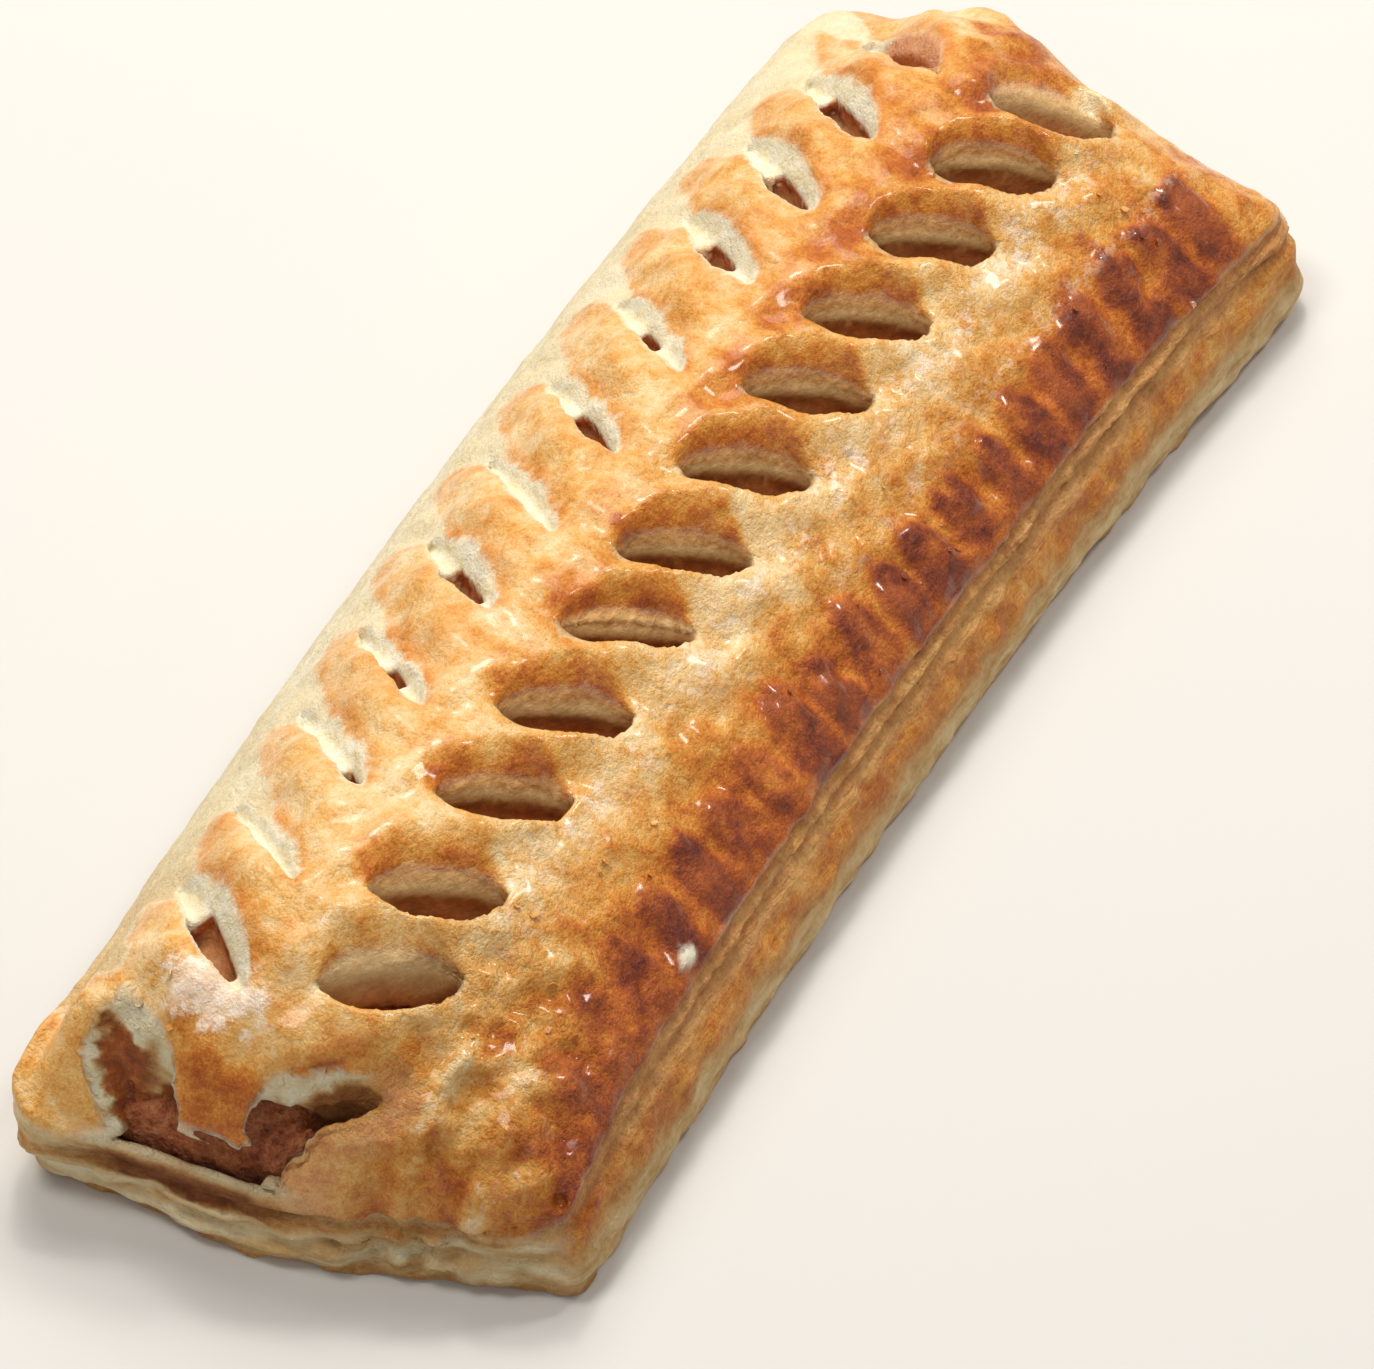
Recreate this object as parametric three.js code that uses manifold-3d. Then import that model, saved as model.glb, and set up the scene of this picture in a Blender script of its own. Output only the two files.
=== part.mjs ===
// Sausage roll: a puff pastry case folded along one side and crimped along the other,
// with a row of slanted slits down each slope, round one length of sausage meat.
// Millimetres. X runs along the roll, +Y is the folded side, -Y the crimped side, Z is up,
// and the flat underside lies on z = 0.
import * as THREE from "three";
import { mergeVertices, toCreasedNormals } from "three/addons/utils/BufferGeometryUtils.js";
import Module from "manifold-3d";

// ---- plan of the roll ----
const NEAR_END = -81.6; // the end that has burst open
const FAR_END = 79.2;
const FOLD_SIDE = 27.8; // half widths at mid length
const CRIMP_SIDE = 28.6;
const FOLD_SPLAY = 0.0329; // the folded side leans outwards towards the far end,
const FOLD_BOW = 0.000389; // and bows out in the middle
const CRIMP_BOW = 0.00049; // the crimped side bows in
const FAR_FLARE = 0.5; // the crimped side steps out near the far end
const NEAR_CUT = { y: -2.5, turn: 5, slope: 0.39 }; // the near end runs back from here to the crimps
const NEAR_LOBE = { y: 18, width: 6, reach: 1.9 }; // the puffed corner beside the tear
const FAR_SKEW = 0.095;
const FAR_LOBE = { y: 7, width: 7, reach: 3.4 }; // pastry puffed out of the far end
const CORNERS = { nearFold: 5, nearCrimp: 3, farCrimp: 7, farFold: 11 }; // corner radii

// ---- height of the roll ----
const CREST_HEIGHT = 27.6;
const CREST_Y = 2.9;
const BOW = 0.0004; // the crest and both rows of slits bow with the sides
const END_SLOPE = 22; // length over which the roll rises from each end,
const FAR_FOLD_SLOPE = 34; // and towards the far corner of the folded side
const SIDE_BLEND = 6; // length over which one side's rim turns into the next
const EDGE_FADE = 14; // how far in from the plan a rim's inset still draws the crust in

// The slopes are (1 - out ** bulge) ** ease, from 1 on the crest to 0 at the crust edge.
const SLOPES = {
  fold: { bulge: 2, ease: 0.85 },
  crimp: { bulge: 1.6, ease: 0.95 },
  end: { bulge: 2.2, ease: 0.7 },
};

// Each rim from the crust down to the board, as [inset from the plan, height]. Rows of the
// four rims belong together: crust edge, crease, lip, ..., seam, ..., foot.
const RIMS = {
  fold: [
    [4.1, 13.8], [3.2, 12.4], [2.2, 10.8], [1.2, 9], [0.3, 7.2], [0, 5.6], [0.1, 4], [0.8, 2], [2.2, 0],
  ],
  crimp: [
    [3.4, 12], [4.3, 10.9], [3.3, 10.6], [2.5, 9.8], [2.9, 8.6], [1.8, 8.1], [0.7, 6], [0, 2.8], [0.7, 0],
  ],
  near: [
    [1.4, 8.4], [0.9, 7.5], [1, 6.6], [2.2, 6.1], [0.9, 5.5], [0.2, 4.3], [0.9, 3.4], [0, 2.3], [0.6, 0],
  ],
  far: [
    [3.2, 10.8], [1.9, 9.6], [0.8, 8.4], [0.3, 7.2], [1, 6.3], [0.2, 5.5], [0, 3.8], [0.3, 1.8], [1.2, 0],
  ],
};

// The puffed corner beside the tear leans out above this height and is tucked in below it.
const LOBE_OVERHANG = { height: 7, tuck: 2.6 };
const END_TO_CORNER = 15; // how far across the far end its slope changes over

// ---- slits ----
// The slant is the way along the roll for each mm across it.
const CRIMP_ROW = { firstX: -63.5, pitch: 11.3, y: -6.0, slant: -0.9, halfLength: 6.2 };
const FOLD_ROW = { firstX: -65, pitch: 11.65, y: 10.8, slant: 0.8, halfLength: 6.8 };
// Each slit from the near end on, as [shift along the roll, half width].
const CRIMP_SLITS = [
  [0.1, 2.3], [-1.7, 2.5], [-0.6, 2.3], [-0.3, 2.4], [0.1, 1.7], [-0.6, 2.3],
  [0, 2.3], [0.3, 2.3], [0.2, 2.4], [1.3, 2.3], [1.6, 2.5], [1.7, 2.9],
];
const FOLD_SLITS = [
  [-0.2, 1.6], [-2.1, 0.7], [-1.3, 1], [-2.2, 1], [-0.8, 1.5], [-1.2, 0.7],
  [-1.4, 1.3], [-0.8, 1], [0.6, 1.4], [0.6, 1.5], [0.3, 1.9], [0.3, 2.6],
];
const ROOF = 5.2; // from the crust down to the filling
const STRIP_RISE = 0.8; // how far the strips between the slits stand up,
const STRIP_REACH = 6; // and how far to either side of the row
// Each cut from the bottom up, as shares of its width and length and a height above the crust;
// the lips are eased outwards, and the bottom lies in the filling's space.
const SLIT_LEVELS = [
  { wide: 0.55, long: 0.9, height: null },
  { wide: 0.9, long: 0.98, height: -1.4 },
  { wide: 1.5, long: 1.12, height: 2.2 },
];
const SLIT_POINTEDNESS = 1.25; // 1 is an ellipse, more draws the ends of a slit to points

// ---- unevenness ----
const CRUST_WAVES = 0.35; // soft blisters on the crust, where two sets of waves cross:
const WAVES = [
  { alongX: 0.83, alongY: 0.5, start: 0 },
  { alongX: 0.37, alongY: -0.71, start: 1 },
];
const RAGGED = { reach: 0.4, alongX: 0.9, alongY: 1.3 }; // the cut edges wander in and out
const MEAT_LUMPS = { rise: 0.5, alongX: 0.9, beat: 0.47, turn: 2.3 };

// ---- crimped edge ----
const CRIMP_PITCH = 6.43;
const CRIMP_X = 5.5; // a crimp's middle along the roll,
const CRIMP_Y = 7; // and how far in from the plan
const CRIMP_RISE = 0.9;
const CRIMP_REACH = 3.4; // how far the crimps run to either side of their middle

// ---- filling ----
const FLOOR = 5.2; // thickness of the pastry under the filling
const FILLING_SIDES = [-17, 20];
const END_INSET = { near: 1.5, far: 2.8 }; // how far the filling stops short of each end
const FILLING_TAPER = 16; // length over which it narrows to each mouth
const NEAR_MOUTH = [-5, 11.5]; // where it reaches across at each end
const FAR_MOUTH = [3, 17];
const THINNEST_FILLING = 4;
const WAIST = 0.42; // the share of its height at which the filling is widest
const SQUARENESS = 0.6; // 1 is an ellipse, less is squarer
const GAP = 0.3; // between pastry and filling
const CUT_DEPTH = 2.2; // how far a slit's cut runs on into the filling's space
const MOUTH_OVERRUN = 6; // how far the filling's space runs out through each end
const TEAR_FLOOR = 6.6; // the layers left under the torn end
const ABOVE = 40; // clear of the whole roll

const LENGTH = FAR_END - NEAR_END;

// ---- how finely the faces are divided ----
const ACROSS = 18;
const FACES_PER_CRIMP = 3;
const EDGE_CLOSENESS = 0.6; // 0 spaces the faces across evenly, 1 crowds them at the sides
const SLIT_POINTS = 12;
const FILLING_STATIONS = 32;
const FILLING_POINTS = 16;

const COLOURS = { pastry: 0xd79a55, sausage_meat: 0x6e3527 };

// ---- small helpers ----
const clamp01 = (t) => Math.min(1, Math.max(0, t));
const smooth = (t) => clamp01(t) ** 2 * (3 - 2 * clamp01(t));
const mix = (a, b, t) => a + (b - a) * t;
const hump = (d, width) => Math.exp(-((d / width) ** 2));

// ---- plan lines ----
const foldLine = (x) => FOLD_SIDE + FOLD_SPLAY * x - FOLD_BOW * x * x;
const crimpLine = (x) => -(CRIMP_SIDE + CRIMP_BOW * (x - 2.5) ** 2 + FAR_FLARE * smooth((x - 45) / 22));
const farLine = (y) => FAR_END + FAR_SKEW * y + FAR_LOBE.reach * hump(y - FAR_LOBE.y, FAR_LOBE.width);

function nearLine(y) {
  const past = NEAR_CUT.y - y;
  const lobe = NEAR_LOBE.reach * hump(y - NEAR_LOBE.y, NEAR_LOBE.width);
  return NEAR_END - lobe + (NEAR_CUT.slope * (past + Math.hypot(past, NEAR_CUT.turn))) / 2;
}

// How much each side's rim counts at a place.
function sideShares(x, y) {
  const reach = {
    fold: foldLine(x) - y,
    crimp: y - crimpLine(x),
    near: x - nearLine(y),
    far: farLine(y) - x,
  };
  const shares = {};
  let sum = 0;
  for (const side in reach) {
    shares[side] = Math.exp(-Math.max(reach[side], 0) / SIDE_BLEND);
    sum += shares[side];
  }
  for (const side in shares) shares[side] /= sum;
  return shares;
}

function rimAt(x, y, row) {
  const shares = sideShares(x, y);
  let inset = 0;
  let height = 0;
  for (const side in shares) {
    inset += shares[side] * RIMS[side][row][0];
    height += shares[side] * RIMS[side][row][1];
  }
  const cut = 1 - shares.fold; // every side but the fold is a cut edge
  const wander = (1 + Math.sin(RAGGED.alongX * x + RAGGED.alongY * y + 2 * row)) / 2;
  if (row > 0) inset += RAGGED.reach * cut * wander;
  const corner = 4 * shares.near * shares.fold; // 1 in the very corner
  inset += LOBE_OVERHANG.tuck * corner * (1 - height / LOBE_OVERHANG.height);
  return { inset, height };
}

// A place in the plan from its shares along (0 near, 1 far) and across (0 crimp, 1 fold),
// with the corners drawn in to their radii.
function planPoint(along, across) {
  let x = mix(NEAR_END, FAR_END, along);
  let y = mix(crimpLine(x), foldLine(x), across);
  for (let pass = 0; pass < 4; pass++) {
    x = mix(nearLine(y), farLine(y), along);
    y = mix(crimpLine(x), foldLine(x), across);
  }
  const isFar = along > 0.5;
  const isFold = across > 0.5;
  const radius = CORNERS[(isFar ? "far" : "near") + (isFold ? "Fold" : "Crimp")];
  const endGap = isFar ? farLine(y) - x : x - nearLine(y);
  const sideGap = isFold ? foldLine(x) - y : y - crimpLine(x);
  if (endGap >= radius || sideGap >= radius) return [x, y];
  const a = radius - Math.max(endGap, 0);
  const b = radius - Math.max(sideGap, 0);
  const drawnA = a * Math.sqrt(1 - (b * b) / (2 * radius * radius));
  const drawnB = b * Math.sqrt(1 - (a * a) / (2 * radius * radius));
  return [x + (isFar ? -1 : 1) * (a - drawnA), y + (isFold ? -1 : 1) * (b - drawnB)];
}

const crestLine = (x) => CREST_Y - BOW * x * x;
const rowY = (row, x) => row.y - BOW * x * x;

// ---- the crust ----
const CRUST_BUMPS = [
  // [x, y, width, rise]: puffed lobes at the ends and the corners
  [-75, 17, 8, 3.0],
  [-68, -22, 6, 2.0],
  [80, 8, 6, 5],
  [76, -4, 6, 3.4],
  [66, 15, 6, -1.4],
  [71, -24, 8, 1.6],
];

// Distance across the slits of a row, in slits: whole numbers fall on the slits.
const slitPhase = (x, y, row) => (x - row.firstX - row.slant * (y - rowY(row, x))) / row.pitch;

const slope = (out, { bulge, ease }) => (1 - out ** bulge) ** ease;

function crustHeight(x, y) {
  const rim = rimAt(x, y, 0);
  const crest = crestLine(x);
  const isFold = y > crest;
  const edge = isFold ? foldLine(x) - rim.inset : crimpLine(x) + rim.inset;
  const out = clamp01((y - crest) / (edge - crest));
  const side = slope(out, isFold ? SLOPES.fold : SLOPES.crimp);
  const farSlope = mix(END_SLOPE, FAR_FOLD_SLOPE, smooth(y / END_TO_CORNER));
  const nearRise = clamp01((x - nearLine(y) - rim.inset) / END_SLOPE);
  const farRise = clamp01((farLine(y) - x - rim.inset) / farSlope);
  const ends = slope(1 - nearRise, SLOPES.end) * slope(1 - farRise, SLOPES.end);
  let z = rim.height + (CREST_HEIGHT - rim.height) * side * ends;
  // The relief fades out within a quarter of the end slopes and 3 mm of the sides.
  const inside = smooth(4 * Math.min(nearRise, farRise)) * smooth(Math.abs(edge - y) / 3);
  const row = isFold ? FOLD_ROW : CRIMP_ROW;
  const [one, other] = WAVES.map((w) => Math.sin(w.alongX * x + w.alongY * y + w.start));
  z += CRUST_WAVES * one * other * inside;
  const band = hump(y - rowY(row, x), STRIP_REACH) * inside;
  z -= STRIP_RISE * Math.cos(2 * Math.PI * slitPhase(x, y, row)) * band;
  const crimps = hump(y - crimpLine(x) - CRIMP_Y, CRIMP_REACH) * inside;
  z += CRIMP_RISE * Math.cos((2 * Math.PI * (x - CRIMP_X)) / CRIMP_PITCH) * crimps;
  for (const [bumpX, bumpY, width, rise] of CRUST_BUMPS) {
    z += rise * inside * hump(Math.hypot(x - bumpX, y - bumpY), width);
  }
  return z;
}

// ---- turning points and faces into solids ----
const wasm = await Module();
wasm.setup();

function toManifold(points, faces) {
  const vertProperties = new Float32Array(points.flat());
  const triVerts = new Uint32Array(faces.flat());
  return new wasm.Manifold(new wasm.Mesh({ numProp: 3, vertProperties, triVerts }));
}

function toMesh(solid, name, roughness) {
  const { vertProperties, triVerts } = solid.getMesh();
  let geometry = new THREE.BufferGeometry();
  geometry.setAttribute("position", new THREE.BufferAttribute(vertProperties, 3));
  geometry.setIndex(new THREE.BufferAttribute(triVerts, 1));
  geometry = toCreasedNormals(mergeVertices(geometry), THREE.MathUtils.degToRad(40));
  const material = new THREE.MeshStandardMaterial({ color: COLOURS[name], roughness, metalness: 0 });
  const mesh = new THREE.Mesh(geometry, material);
  mesh.name = name;
  return mesh;
}

// Closes a stack of rings, each with the same number of points, into one solid. Rings run
// anticlockwise as seen from the far end of the stack.
function stackRings(rings) {
  const count = rings[0].length;
  const points = rings.flat();
  const faces = [];
  for (let r = 0; r < rings.length - 1; r++) {
    for (let i = 0; i < count; i++) {
      const a = r * count + i;
      const b = r * count + ((i + 1) % count);
      faces.push([a, b, b + count], [a, b + count, a + count]);
    }
  }
  const last = (rings.length - 1) * count;
  const middle = (ring) => ring[0].map((_, axis) => ring.reduce((sum, p) => sum + p[axis], 0) / count);
  points.push(middle(rings[0]), middle(rings.at(-1)));
  for (let i = 0; i < count; i++) {
    const next = (i + 1) % count;
    faces.push([next, i, points.length - 2], [last + i, last + next, points.length - 1]);
  }
  return toManifold(points, faces);
}

// An upright prism over an outline (anticlockwise from above), its floor following floorAt.
function prism(outline, floorAt, top) {
  const flat = outline.map(([x, y]) => new THREE.Vector2(x, y));
  const caps = THREE.ShapeUtils.triangulateShape(flat, []);
  const count = outline.length;
  const points = [...outline.map(([x, y]) => [x, y, floorAt(x, y)]), ...outline.map(([x, y]) => [x, y, top])];
  const faces = [];
  for (const [a, b, c] of caps) faces.push([c, b, a], [a + count, b + count, c + count]);
  for (let i = 0; i < count; i++) {
    const next = (i + 1) % count;
    faces.push([i, next, next + count], [i, next + count, i + count]);
  }
  return toManifold(points, faces);
}

// ---- the outer form: crust grid, then the rim rings down to the underside ----
const ALONG = Math.round((FACES_PER_CRIMP * LENGTH) / CRIMP_PITCH);

function outerForm() {
  const points = [];
  const faces = [];
  const grid = (i, j) => i * (ACROSS + 1) + j;
  const spread = (t) => t - (EDGE_CLOSENESS / (2 * Math.PI)) * Math.sin(2 * Math.PI * t);
  for (let i = 0; i <= ALONG; i++) {
    for (let j = 0; j <= ACROSS; j++) {
      const [px, py] = planPoint(i / ALONG, spread(j / ACROSS));
      const [x, y] = drawIn(px, py, 0);
      points.push([x, y, crustHeight(x, y)]);
    }
  }
  for (let i = 0; i < ALONG; i++) {
    for (let j = 0; j < ACROSS; j++) {
      const [a, b, c, d] = [grid(i, j), grid(i + 1, j), grid(i + 1, j + 1), grid(i, j + 1)];
      faces.push([a, b, c], [a, c, d]);
    }
  }
  const border = [];
  for (let i = 0; i < ALONG; i++) border.push([i, 0]);
  for (let j = 0; j < ACROSS; j++) border.push([ALONG, j]);
  for (let i = ALONG; i > 0; i--) border.push([i, ACROSS]);
  for (let j = ACROSS; j > 0; j--) border.push([0, j]);
  let ring = border.map(([i, j]) => grid(i, j));
  const rows = RIMS.fold.length;
  for (let row = 1; row < rows; row++) {
    const next = border.map(([i, j]) => {
      const [px, py] = planPoint(i / ALONG, spread(j / ACROSS));
      const [x, y] = drawIn(px, py, row);
      points.push([x, y, rimAt(px, py, row).height]);
      return points.length - 1;
    });
    for (let k = 0; k < ring.length; k++) {
      const n = (k + 1) % ring.length;
      faces.push([ring[k], next[k], next[n]], [ring[k], next[n], ring[n]]);
    }
    ring = next;
  }
  const under = ring.map((k) => new THREE.Vector2(points[k][0], points[k][1]));
  for (const [a, b, c] of THREE.ShapeUtils.triangulateShape(under, [])) {
    faces.push([ring[c], ring[b], ring[a]]);
  }
  return toManifold(points, faces);
}

// Moves a place of the plan in by the inset of a row of the rims, fading to the middle.
function drawIn(x, y, row) {
  const { inset } = rimAt(x, y, row);
  const fade = (gap) => Math.max(0, 1 - gap / EDGE_FADE);
  const dx = fade(x - nearLine(y)) - fade(farLine(y) - x);
  const dy = fade(y - crimpLine(x)) - fade(foldLine(x) - y);
  return [x + inset * dx, y + inset * dy];
}

// ---- the filling ----
const fillingTop = (x, y) => Math.max(crustHeight(x, y) - ROOF, FLOOR + THINNEST_FILLING);

function fillingReach(share) {
  const near = smooth((share * LENGTH) / FILLING_TAPER);
  const far = smooth(((1 - share) * LENGTH) / FILLING_TAPER);
  return [0, 1].map((s) => mix(NEAR_MOUTH[s], mix(FAR_MOUTH[s], FILLING_SIDES[s], far), near));
}

// The filling as rings along the roll, grown by a gap on all sides, with its ends moved out.
function fillingForm(gap, overrun) {
  const rings = [];
  for (let s = 0; s <= FILLING_STATIONS; s++) {
    const share = s / FILLING_STATIONS;
    const [low, high] = fillingReach(share);
    const middle = (low + high) / 2;
    const half = (high - low) / 2;
    const ring = [];
    for (let k = 0; k < FILLING_POINTS; k++) {
      const turn = (2 * Math.PI * k) / FILLING_POINTS;
      const y = middle + half * Math.cos(turn);
      const x = mix(nearLine(y) + END_INSET.near, farLine(y) - END_INSET.far, share);
      const lump = Math.sin(MEAT_LUMPS.alongX * x + k) * Math.sin(MEAT_LUMPS.beat * x + MEAT_LUMPS.turn * k);
      const top = fillingTop(x, y) + MEAT_LUMPS.rise * (lump - 1);
      const waist = mix(FLOOR, top, WAIST);
      const reach = Math.sin(turn) > 0 ? top - waist : waist - FLOOR;
      const upward = Math.sign(Math.sin(turn)) * Math.abs(Math.sin(turn)) ** SQUARENESS;
      ring.push([x, y + gap * Math.cos(turn), waist + upward * (reach + gap)]);
    }
    rings.push(ring);
  }
  if (overrun) {
    rings.unshift(rings[0].map(([x, y, z]) => [x - overrun, y, z]));
    rings.push(rings.at(-1).map(([x, y, z]) => [x + overrun, y, z]));
  }
  return stackRings(rings);
}

// ---- slits ----
// A lens-shaped slit, from above the crust down into the filling's space.
function slit(x, y, slant, halfLength, halfWidth) {
  const length = Math.hypot(slant, 1);
  const along = [Math.abs(slant) / length, Math.sign(slant) / length];
  const across = [-along[1], along[0]];
  const rings = SLIT_LEVELS.map(({ wide, long, height }) => {
    const ring = [];
    for (let k = 0; k < SLIT_POINTS; k++) {
      const turn = (2 * Math.PI * k) / SLIT_POINTS;
      const bulge = Math.sign(Math.sin(turn)) * Math.abs(Math.sin(turn)) ** SLIT_POINTEDNESS;
      const u = Math.cos(turn) * halfLength * long;
      const v = bulge * halfWidth * wide;
      const px = x + u * along[0] + v * across[0];
      const py = y + u * along[1] + v * across[1];
      ring.push([px, py, height === null ? fillingTop(px, py) - CUT_DEPTH : crustHeight(px, py) + height]);
    }
    return ring;
  });
  return stackRings(rings);
}

const slitRow = (row, slits) =>
  slits.map(([shift, halfWidth], k) => {
    const x = row.firstX + k * row.pitch + shift;
    return slit(x, rowY(row, x), row.slant, row.halfLength, halfWidth);
  });

// The two end slits have torn out through the near end, with a tongue of crust between them.
const NEAR_TEAR = [
  [-72.6, 14.1], [-75.5, 14.0], [-78.0, 12.4], [-80.7, 9.4], [-90, 9.0], [-90, -4.4], [-79.2, -4.2],
  [-76.5, -6.7], [-74.7, -8.1], [-72.1, -10.4], [-70.3, -11.4], [-69.7, -10.6], [-70.6, -7.4],
  [-72.3, -4.9], [-73.9, -2.4], [-74.9, -1.4], [-76.3, -0.9], [-77.0, -0.8], [-77.6, -1.8], [-78.0, -0.2],
  [-77.9, 1.4], [-78.2, 3.4], [-78.2, 5.1], [-77.2, 5.7], [-75.9, 6.3], [-74.2, 7.9], [-72.8, 10.5],
];

const tearFloor = (x, y) => (x < NEAR_END ? TEAR_FLOOR : fillingTop(x, y) - CUT_DEPTH);

const outer = outerForm();
const tunnel = fillingForm(GAP, MOUTH_OVERRUN);
const tear = prism(NEAR_TEAR, tearFloor, ABOVE);
const slits = [...slitRow(CRIMP_ROW, CRIMP_SLITS), ...slitRow(FOLD_ROW, FOLD_SLITS)];
const pastry = wasm.Manifold.difference([outer, tunnel, tear, ...slits]);
const meat = fillingForm(0, 0);

const roll = new THREE.Group();
roll.name = "sausage_roll";
roll.add(toMesh(pastry, "pastry", 0.45), toMesh(meat, "sausage_meat", 0.7));
export default roll;
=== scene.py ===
# A baked sausage roll: puff pastry folded along one side and crimped along the other, slit down
# both slopes and burst open at one end, round one length of sausage meat.
import itertools
import math

import bpy
import numpy as np
import openvdb
from mathutils import Matrix, Vector


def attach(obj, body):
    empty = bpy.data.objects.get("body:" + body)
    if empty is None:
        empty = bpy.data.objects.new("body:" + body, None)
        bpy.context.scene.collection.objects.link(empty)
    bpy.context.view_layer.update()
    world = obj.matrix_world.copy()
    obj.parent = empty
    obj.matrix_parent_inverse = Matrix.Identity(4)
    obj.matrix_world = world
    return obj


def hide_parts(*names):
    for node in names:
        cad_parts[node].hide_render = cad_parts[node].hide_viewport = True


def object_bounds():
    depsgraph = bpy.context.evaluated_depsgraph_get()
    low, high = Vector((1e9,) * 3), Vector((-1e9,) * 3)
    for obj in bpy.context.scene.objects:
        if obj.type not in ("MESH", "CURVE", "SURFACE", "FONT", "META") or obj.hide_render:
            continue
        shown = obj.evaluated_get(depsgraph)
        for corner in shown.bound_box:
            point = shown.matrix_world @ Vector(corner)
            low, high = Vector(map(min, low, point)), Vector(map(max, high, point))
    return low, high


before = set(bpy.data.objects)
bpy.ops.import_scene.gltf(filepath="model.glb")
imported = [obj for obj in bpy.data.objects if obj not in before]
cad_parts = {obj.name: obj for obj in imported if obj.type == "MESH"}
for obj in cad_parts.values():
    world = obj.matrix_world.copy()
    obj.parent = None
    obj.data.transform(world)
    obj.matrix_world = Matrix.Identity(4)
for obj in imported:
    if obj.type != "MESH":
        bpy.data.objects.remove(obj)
cad_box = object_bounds()

MM = 0.001
SEED = 7

# The forms below are in millimetres, in the frame of the solids: X runs along the roll, +Y is the
# folded side, -Y the crimped side, Z is up and the underside lies on z = 0.

# ---- plan of the roll ----
NEAR_END = -81.6
FAR_END = 79.2
FOLD_SIDE = 27.8
CRIMP_SIDE = 28.6
FOLD_SPLAY = 0.0329
FOLD_BOW = 0.000389
CRIMP_BOW = 0.00049
FAR_FLARE = 0.5
NEAR_CUT = {"y": -2.5, "turn": 5.0, "slope": 0.39}
NEAR_LOBE = {"y": 18.0, "width": 6.0, "reach": 1.9}
FAR_SKEW = 0.095
FAR_LOBE = {"y": 7.0, "width": 7.0, "reach": 3.4}
CORNERS = {("near", "fold"): 5.0, ("near", "crimp"): 3.0, ("far", "crimp"): 7.0, ("far", "fold"): 11.0}

# ---- height of the roll ----
CREST_HEIGHT = 27.6
CREST_Y = 2.9
BOW = 0.0004
END_SLOPE = 22.0
FAR_FOLD_SLOPE = 34.0
SIDE_BLEND = 6.0
SLOPES = {"fold": (2.0, 0.85), "crimp": (1.6, 0.95), "end": (2.2, 0.7)}

# Each rim from the crust down to the board, as insets from the plan and their heights.
RIMS = {
    "fold": ((4.1, 3.2, 2.2, 1.2, 0.3, 0, 0.1, 0.8, 2.2), (13.8, 12.4, 10.8, 9, 7.2, 5.6, 4, 2, 0)),
    "crimp": ((4.4, 3.6, 4.2, 2.9, 3.5, 2.1, 0.8, 0, 0.7), (12.3, 11.6, 11, 10.1, 9.6, 8.5, 6, 2.8, 0)),
    "near": ((1.4, 0.9, 1, 2.2, 0.9, 0.2, 0.9, 0, 0.6), (8.4, 7.5, 6.6, 6.1, 5.5, 4.3, 3.4, 2.3, 0)),
    "far": ((3.2, 1.9, 0.8, 0.3, 1, 0.2, 0, 0.3, 1.2), (10.8, 9.6, 8.4, 7.2, 6.3, 5.5, 3.8, 1.8, 0)),
}
LOBE_OVERHANG = {"height": 7.0, "tuck": 2.6}

# ---- slits: each as (shift along the roll, half width, depth of the opening) ----
CRIMP_ROW = {"first_x": -63.5, "pitch": 11.3, "y": -6.0, "slant": -0.9, "half_length": 6.2}
FOLD_ROW = {"first_x": -65.0, "pitch": 11.65, "y": 10.8, "slant": 0.8, "half_length": 6.8}
CRIMP_SLITS = [
    (0.1, 2.3, 4.5), (-1.7, 2.5, 6), (-0.6, 2.3, 6), (-0.3, 2.4, 6), (0.1, 1.9, 2.2), (-0.6, 2.3, 6),
    (0, 2.3, 6), (0.3, 2.3, 6), (0.2, 2.4, 6), (1.3, 2.3, 6), (1.6, 2.5, 6), (1.7, 3.4, 3.5),
]
# How dark the slits at the ends are, beside 1 for all others.
CRIMP_SHADES = {0: 0.3, 1: 0.75, 11: 0.4}
# (shift along the roll, half width, where the hole runs from and to as shares of the half length)
FOLD_SLITS = [
    (-0.2, 1.6, -0.75, 0.2), (-2.1, 0.7, 0, 0), (-1.3, 1.0, -1.0, -0.55), (-2.2, 1.0, -0.4, 0.0),
    (-0.8, 1.5, -0.6, 0.15), (-1.2, 0.7, 0, 0), (-1.4, 1.3, -0.9, 0.1), (-0.8, 1.0, -0.3, 0.1),
    (0.6, 1.4, -0.45, 0.2), (0.6, 1.5, -0.8, 0.05), (0.3, 1.9, -0.9, 0.3), (0.3, 2.6, -0.9, 0.5),
]
# How the two walls of a slit run, as (depth under the crust, distance across). A slit on the crimped
# slope is measured from the line through its tips, one on the folded slope for a half width of 1.
CRIMP_SLIT_TIP = 0.7
CRIMP_SLIT_LIP = [(-4, -4.4), (-0.3, -3.0), (0.5, -3.2), (1.6, -3.5), (3.2, -3.3), (6, -2)]
CRIMP_SLIT_ROLL = [
    (-4, 8.0), (-0.7, 5.0), (-0.3, 4.3), (0.2, 3.6), (0.7, 3.0), (1.1, 2.6), (1.35, 2.4), (1.6, 2.15),
    (1.75, 1.7), (1.95, 1.25), (2.3, 0.95), (3, 0.8), (4.4, 0.6), (6, 0),
]
FOLD_SLIT_LIP = [(-4, 1.3), (-0.2, 1.0), (0.5, 1.12), (1.5, 1.25), (3, 1.2), (6, 0.9)]
FOLD_SLIT_FACE = [(-4, -3), (-0.5, -2.1), (0, -1.75), (0.6, -1.35), (1.3, -0.85), (1.8, -0.5), (6, -0.4)]
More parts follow.
